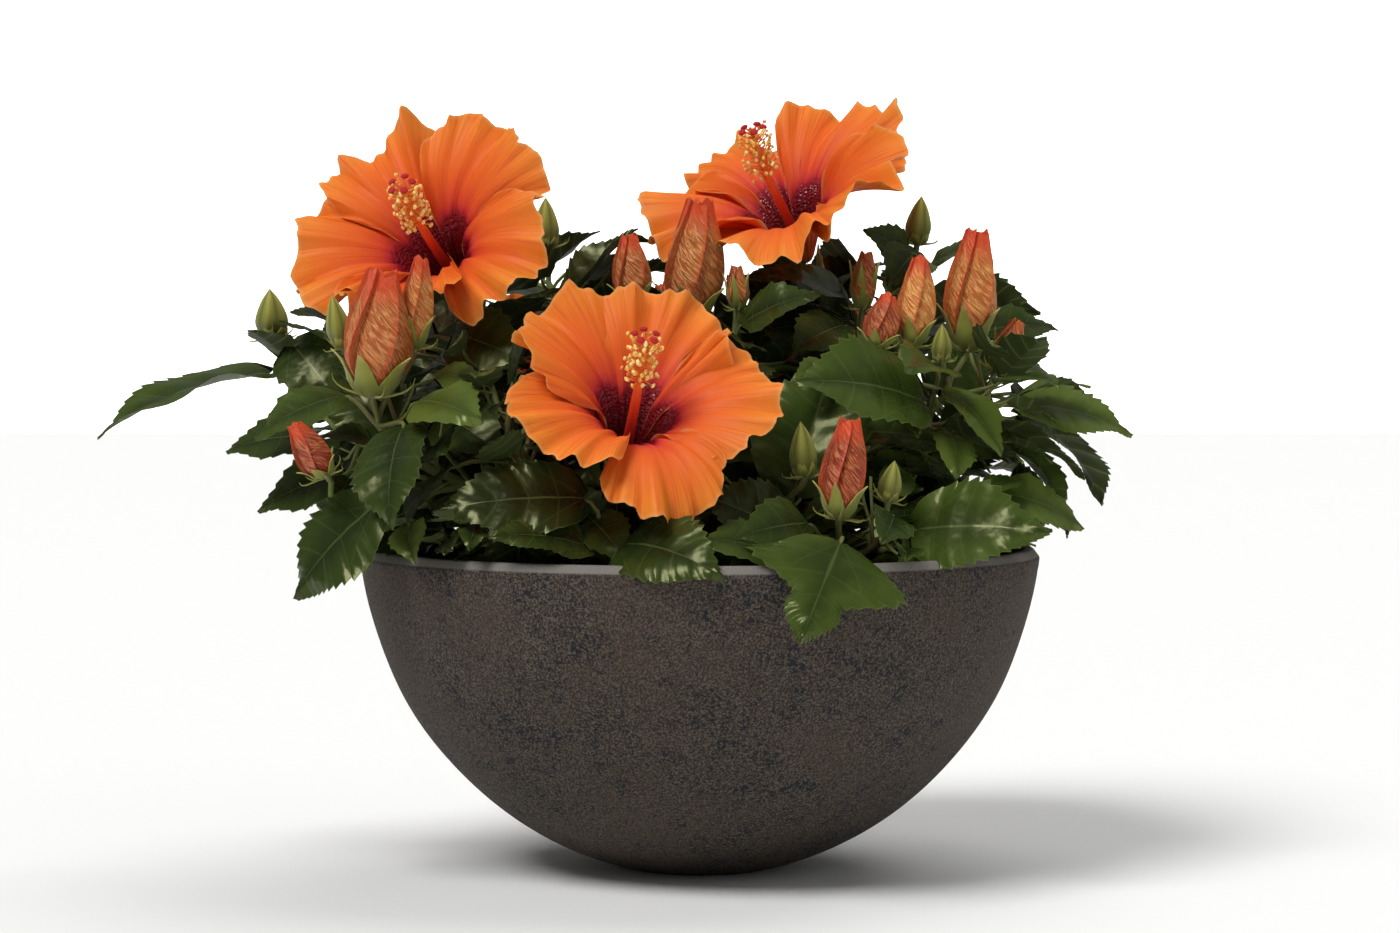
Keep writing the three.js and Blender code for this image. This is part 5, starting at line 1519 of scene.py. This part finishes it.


# A hibiscus leaf has a waxy skin that shines, paler along the midrib, the side veins and the thin margin.
# Four tones of green are dealt out by spray, paler towards the young tips, and they also hold painted light
# and shade: the sprays in the middle of the crown take darker greens as painted shade, the right-hand sprays
# paler greens as painted light.
LEAF_GREENS = {
    "deep": ("171f0b", "252f11"),
    "full": ("1e290f", "313f17"),
    "bright": ("293613", "40501d"),
    "young": ("3a471a", "566628"),
}
VEIN_COLOUR = "5f6a38"
MOTTLE = 9 * MM
PUCKER = 5 * MM
leaf_finishes = []
for tone, (inner_green, outer_green) in LEAF_GREENS.items():
    waxy, tree, shader = new_material(
        "waxy_leaf_" + tone, {"Roughness": 0.27, "Specular IOR Level": 0.4, "Specular Tint": "f0f2b4"},
    )
    place = add_node(tree, "ShaderNodeTexCoord").outputs["Object"]
    vein, across, ray = (
        add_node(tree, "ShaderNodeAttribute", {"attribute_name": name}).outputs["Fac"]
        for name in ("vein", "across", "ray")
    )
    side = add_node(tree, "ShaderNodeMath", {"operation": "ABSOLUTE"}, {"Value": across})
    astray = add_node(tree, "ShaderNodeMath", {"operation": "ABSOLUTE"}, {"Value": ray})
    apart = add_node(tree, "ShaderNodeMath", {"operation": "PINGPONG", "Value_001": 0.5}, {"Value": vein})
    drawn_lines = []
    for source, clear, full, strength in (
        (apart, 0.04, 0.012, 0.16),
        (side, 0.036, 0.01, 0.42),
        (astray, 0.5, 0.15, 0.14),
        (side, 0.965, 0.99, 0.5),
    ):
        line = add_node(
            tree, "ShaderNodeMapRange", {"From Min": clear, "From Max": full, "To Max": strength},
            {"Value": source},
        )
        drawn_lines.append(line)
    lines = drawn_lines[0]
    for line in drawn_lines[1:]:
        lines = add_node(
            tree, "ShaderNodeMath", {"operation": "MAXIMUM"}, {"Value": lines, "Value_001": line},
        )
    mottle = add_node(tree, "ShaderNodeTexNoise", {"Scale": 1 / MOTTLE, "Detail": 3.0}, {"Vector": place})
    outward = add_node(
        tree, "ShaderNodeMath", {"operation": "MULTIPLY_ADD", "Value_001": 0.6, "use_clamp": True},
        {"Value": mottle, "Value_002": side},
    )
    shaded = add_node(tree, "ShaderNodeMapRange", {"From Min": 0.4, "From Max": 1.15}, {"Value": outward})
    greens = add_node(
        tree, "ShaderNodeMix", {"data_type": "RGBA", "A_Color": inner_green, "B_Color": outer_green},
        {"Factor_Float": shaded},
    )
    lined = add_node(
        tree, "ShaderNodeMix", {"data_type": "RGBA", "B_Color": VEIN_COLOUR},
        {"Factor_Float": lines, "A_Color": greens},
    )
    pucker = add_node(tree, "ShaderNodeTexNoise", {"Scale": 1 / PUCKER, "Detail": 1.0}, {"Vector": place})
    netted = add_node(tree, "ShaderNodeBump", {"Strength": 0.5, "Distance": 0.6 * MM}, {"Height": pucker})
    feed(shader, {"Base Color": lined, "Normal": netted})
    leaf_finishes.append(waxy)

# A hibiscus leaf's underside has no wax, so it is paler and dull, with the veins standing out.
leaf_underside, tree, shader = new_material("leaf_underside", {"Roughness": 0.6, "Specular IOR Level": 0.35})
vein = add_node(tree, "ShaderNodeAttribute", {"attribute_name": "vein"}).outputs["Fac"]
apart = add_node(tree, "ShaderNodeMath", {"operation": "PINGPONG", "Value_001": 0.5}, {"Value": vein})
pale = add_node(
    tree, "ShaderNodeValToRGB", {"stops": [(0.02, "6d7746"), (0.07, "465228"), (1.0, "3c4822")]},
    {"Fac": apart},
)
feed(shader, {"Base Color": pale})
foliage = [Bundle() for _ in LEAF_GREENS]
for place, (leaf, node, tone, stalk_radius) in enumerate(leaves):
    spots, faces, sides, values = blade(leaf, np.random.default_rng(place))
    foliage[tone].add(spots, faces, sides, **values)
    end = leaf["base"] + 1.5 * leaf["ahead"] - 0.4 * leaf["facing"]
    stalk = Path(node, unit(end - node), end, leaf["ahead"])
    shares = np.linspace(0, 1, 8)
    radii = np.interp(shares, [0, 0.9, 1], [stalk_radius, 0.75 * stalk_radius, 0.3])
    add_limb(green_wood, stalk, shares, radii, TWIG_SIDES)
for tone, waxy, bundle in zip(LEAF_GREENS, leaf_finishes, foliage):
    settle(bundle.piece("leaves_" + tone, [waxy, leaf_underside], 40), shoot_nodes)

# Young hibiscus wood and leaf stalks are smooth and green, flushed brown in stretches. The stems, twigs and
# stalks of the whole plant, gathered as they grew, make up one piece.
FLUSH = 18 * MM
young_wood, tree, shader = new_material("young_green_wood", {"Roughness": 0.5, "Specular IOR Level": 0.4})
place = add_node(tree, "ShaderNodeTexCoord").outputs["Object"]
flush = add_node(tree, "ShaderNodeTexNoise", {"Scale": 1 / FLUSH, "Detail": 3.0}, {"Vector": place})
flushed = add_node(
    tree, "ShaderNodeValToRGB", {"stops": [(0.35, "6d7a3c"), (0.55, "6b6a38"), (0.75, "6e5236")]},
    {"Fac": flush},
)
feed(shader, {"Base Color": flushed})
settle(green_wood.piece("stems_and_stalks", [young_wood]), shoot_nodes)

# The stage: a pale board under the bowl, a pale backdrop all round that only the camera sees, and soft
# lights. The camera stands a little above the bowl's rim, as far off as the photograph's outlines say.
BOARD_REACH = 8.0
BACKDROP_HEIGHT = 6
ROOM_LIGHT = 0.17
CAMERA_SPOT = (0, -1.6, 0.2304)
CAMERA_TILT = 0.0331
CAMERA_LENS = 92.9
board = [(x * BOARD_REACH, y * BOARD_REACH) for x, y in ((-1, -1), (1, -1), (1, 1), (-1, 1))]
corners = [(x, y, z) for z in (0, BACKDROP_HEIGHT) for x, y in board]
matt_white = new_material("matt_white_board", {"Base Color": "fafaf8", "Roughness": 0.9})[0]
lit_paper = new_material(
    "lit_backdrop_paper", {"Base Color": "ffffff", "Emission Color": "ffffff", "Emission Strength": 1.0},
)[0]
walls = [(i, (i + 1) % 4, 4 + (i + 1) % 4, 4 + i) for i in range(4)]
for name, sides, finish in (("pale_board", [(0, 1, 2, 3)], matt_white), ("backdrop", walls, lit_paper)):
    paper_mesh = bpy.data.meshes.new(name)
    paper_mesh.from_pydata(corners, [], sides)
    paper_mesh.materials.append(finish)
    paper = bpy.data.objects.new(name, paper_mesh)
    bpy.context.scene.collection.objects.link(paper)
paper.visible_diffuse = False
paper.visible_glossy = False
paper.visible_shadow = False
soft_room = bpy.data.worlds.new("soft_room")
soft_room.use_nodes = True
soft_room.node_tree.nodes["Background"].inputs["Color"].default_value = linear("ffffff")
soft_room.node_tree.nodes["Background"].inputs["Strength"].default_value = ROOM_LIGHT
bpy.context.scene.world = soft_room
SOFT_LIGHTS = [
    ("key_light", (-0.5, -0.6, 1.0), 26, 2.2, True),
    ("top_light", (0.3, 0.45, 1.0), 50, 1.2, False),
    ("fill_light", (0.9, -0.7, 0.45), 60, 0.25, True),
]
for name, way, wide, strength, mirrored in SOFT_LIGHTS:
    lamp = bpy.data.lights.new(name, "SUN")
    lamp.angle = math.radians(wide)
    lamp.energy = strength
    light = bpy.data.objects.new(name, lamp)
    light.rotation_euler = Vector(way).to_track_quat("Z", "Y").to_euler()
    light.visible_glossy = mirrored
    bpy.context.scene.collection.objects.link(light)
lens = bpy.data.cameras.new("camera")
lens.lens = CAMERA_LENS
lens.sensor_width = 36
lens.sensor_fit = "HORIZONTAL"
camera = bpy.data.objects.new("camera", lens)
camera.location = CAMERA_SPOT
camera.rotation_euler = (math.pi / 2 - CAMERA_TILT, 0, 0)
bpy.context.scene.collection.objects.link(camera)
bpy.context.scene.camera = camera
bpy.context.scene.view_settings.view_transform = "Standard"
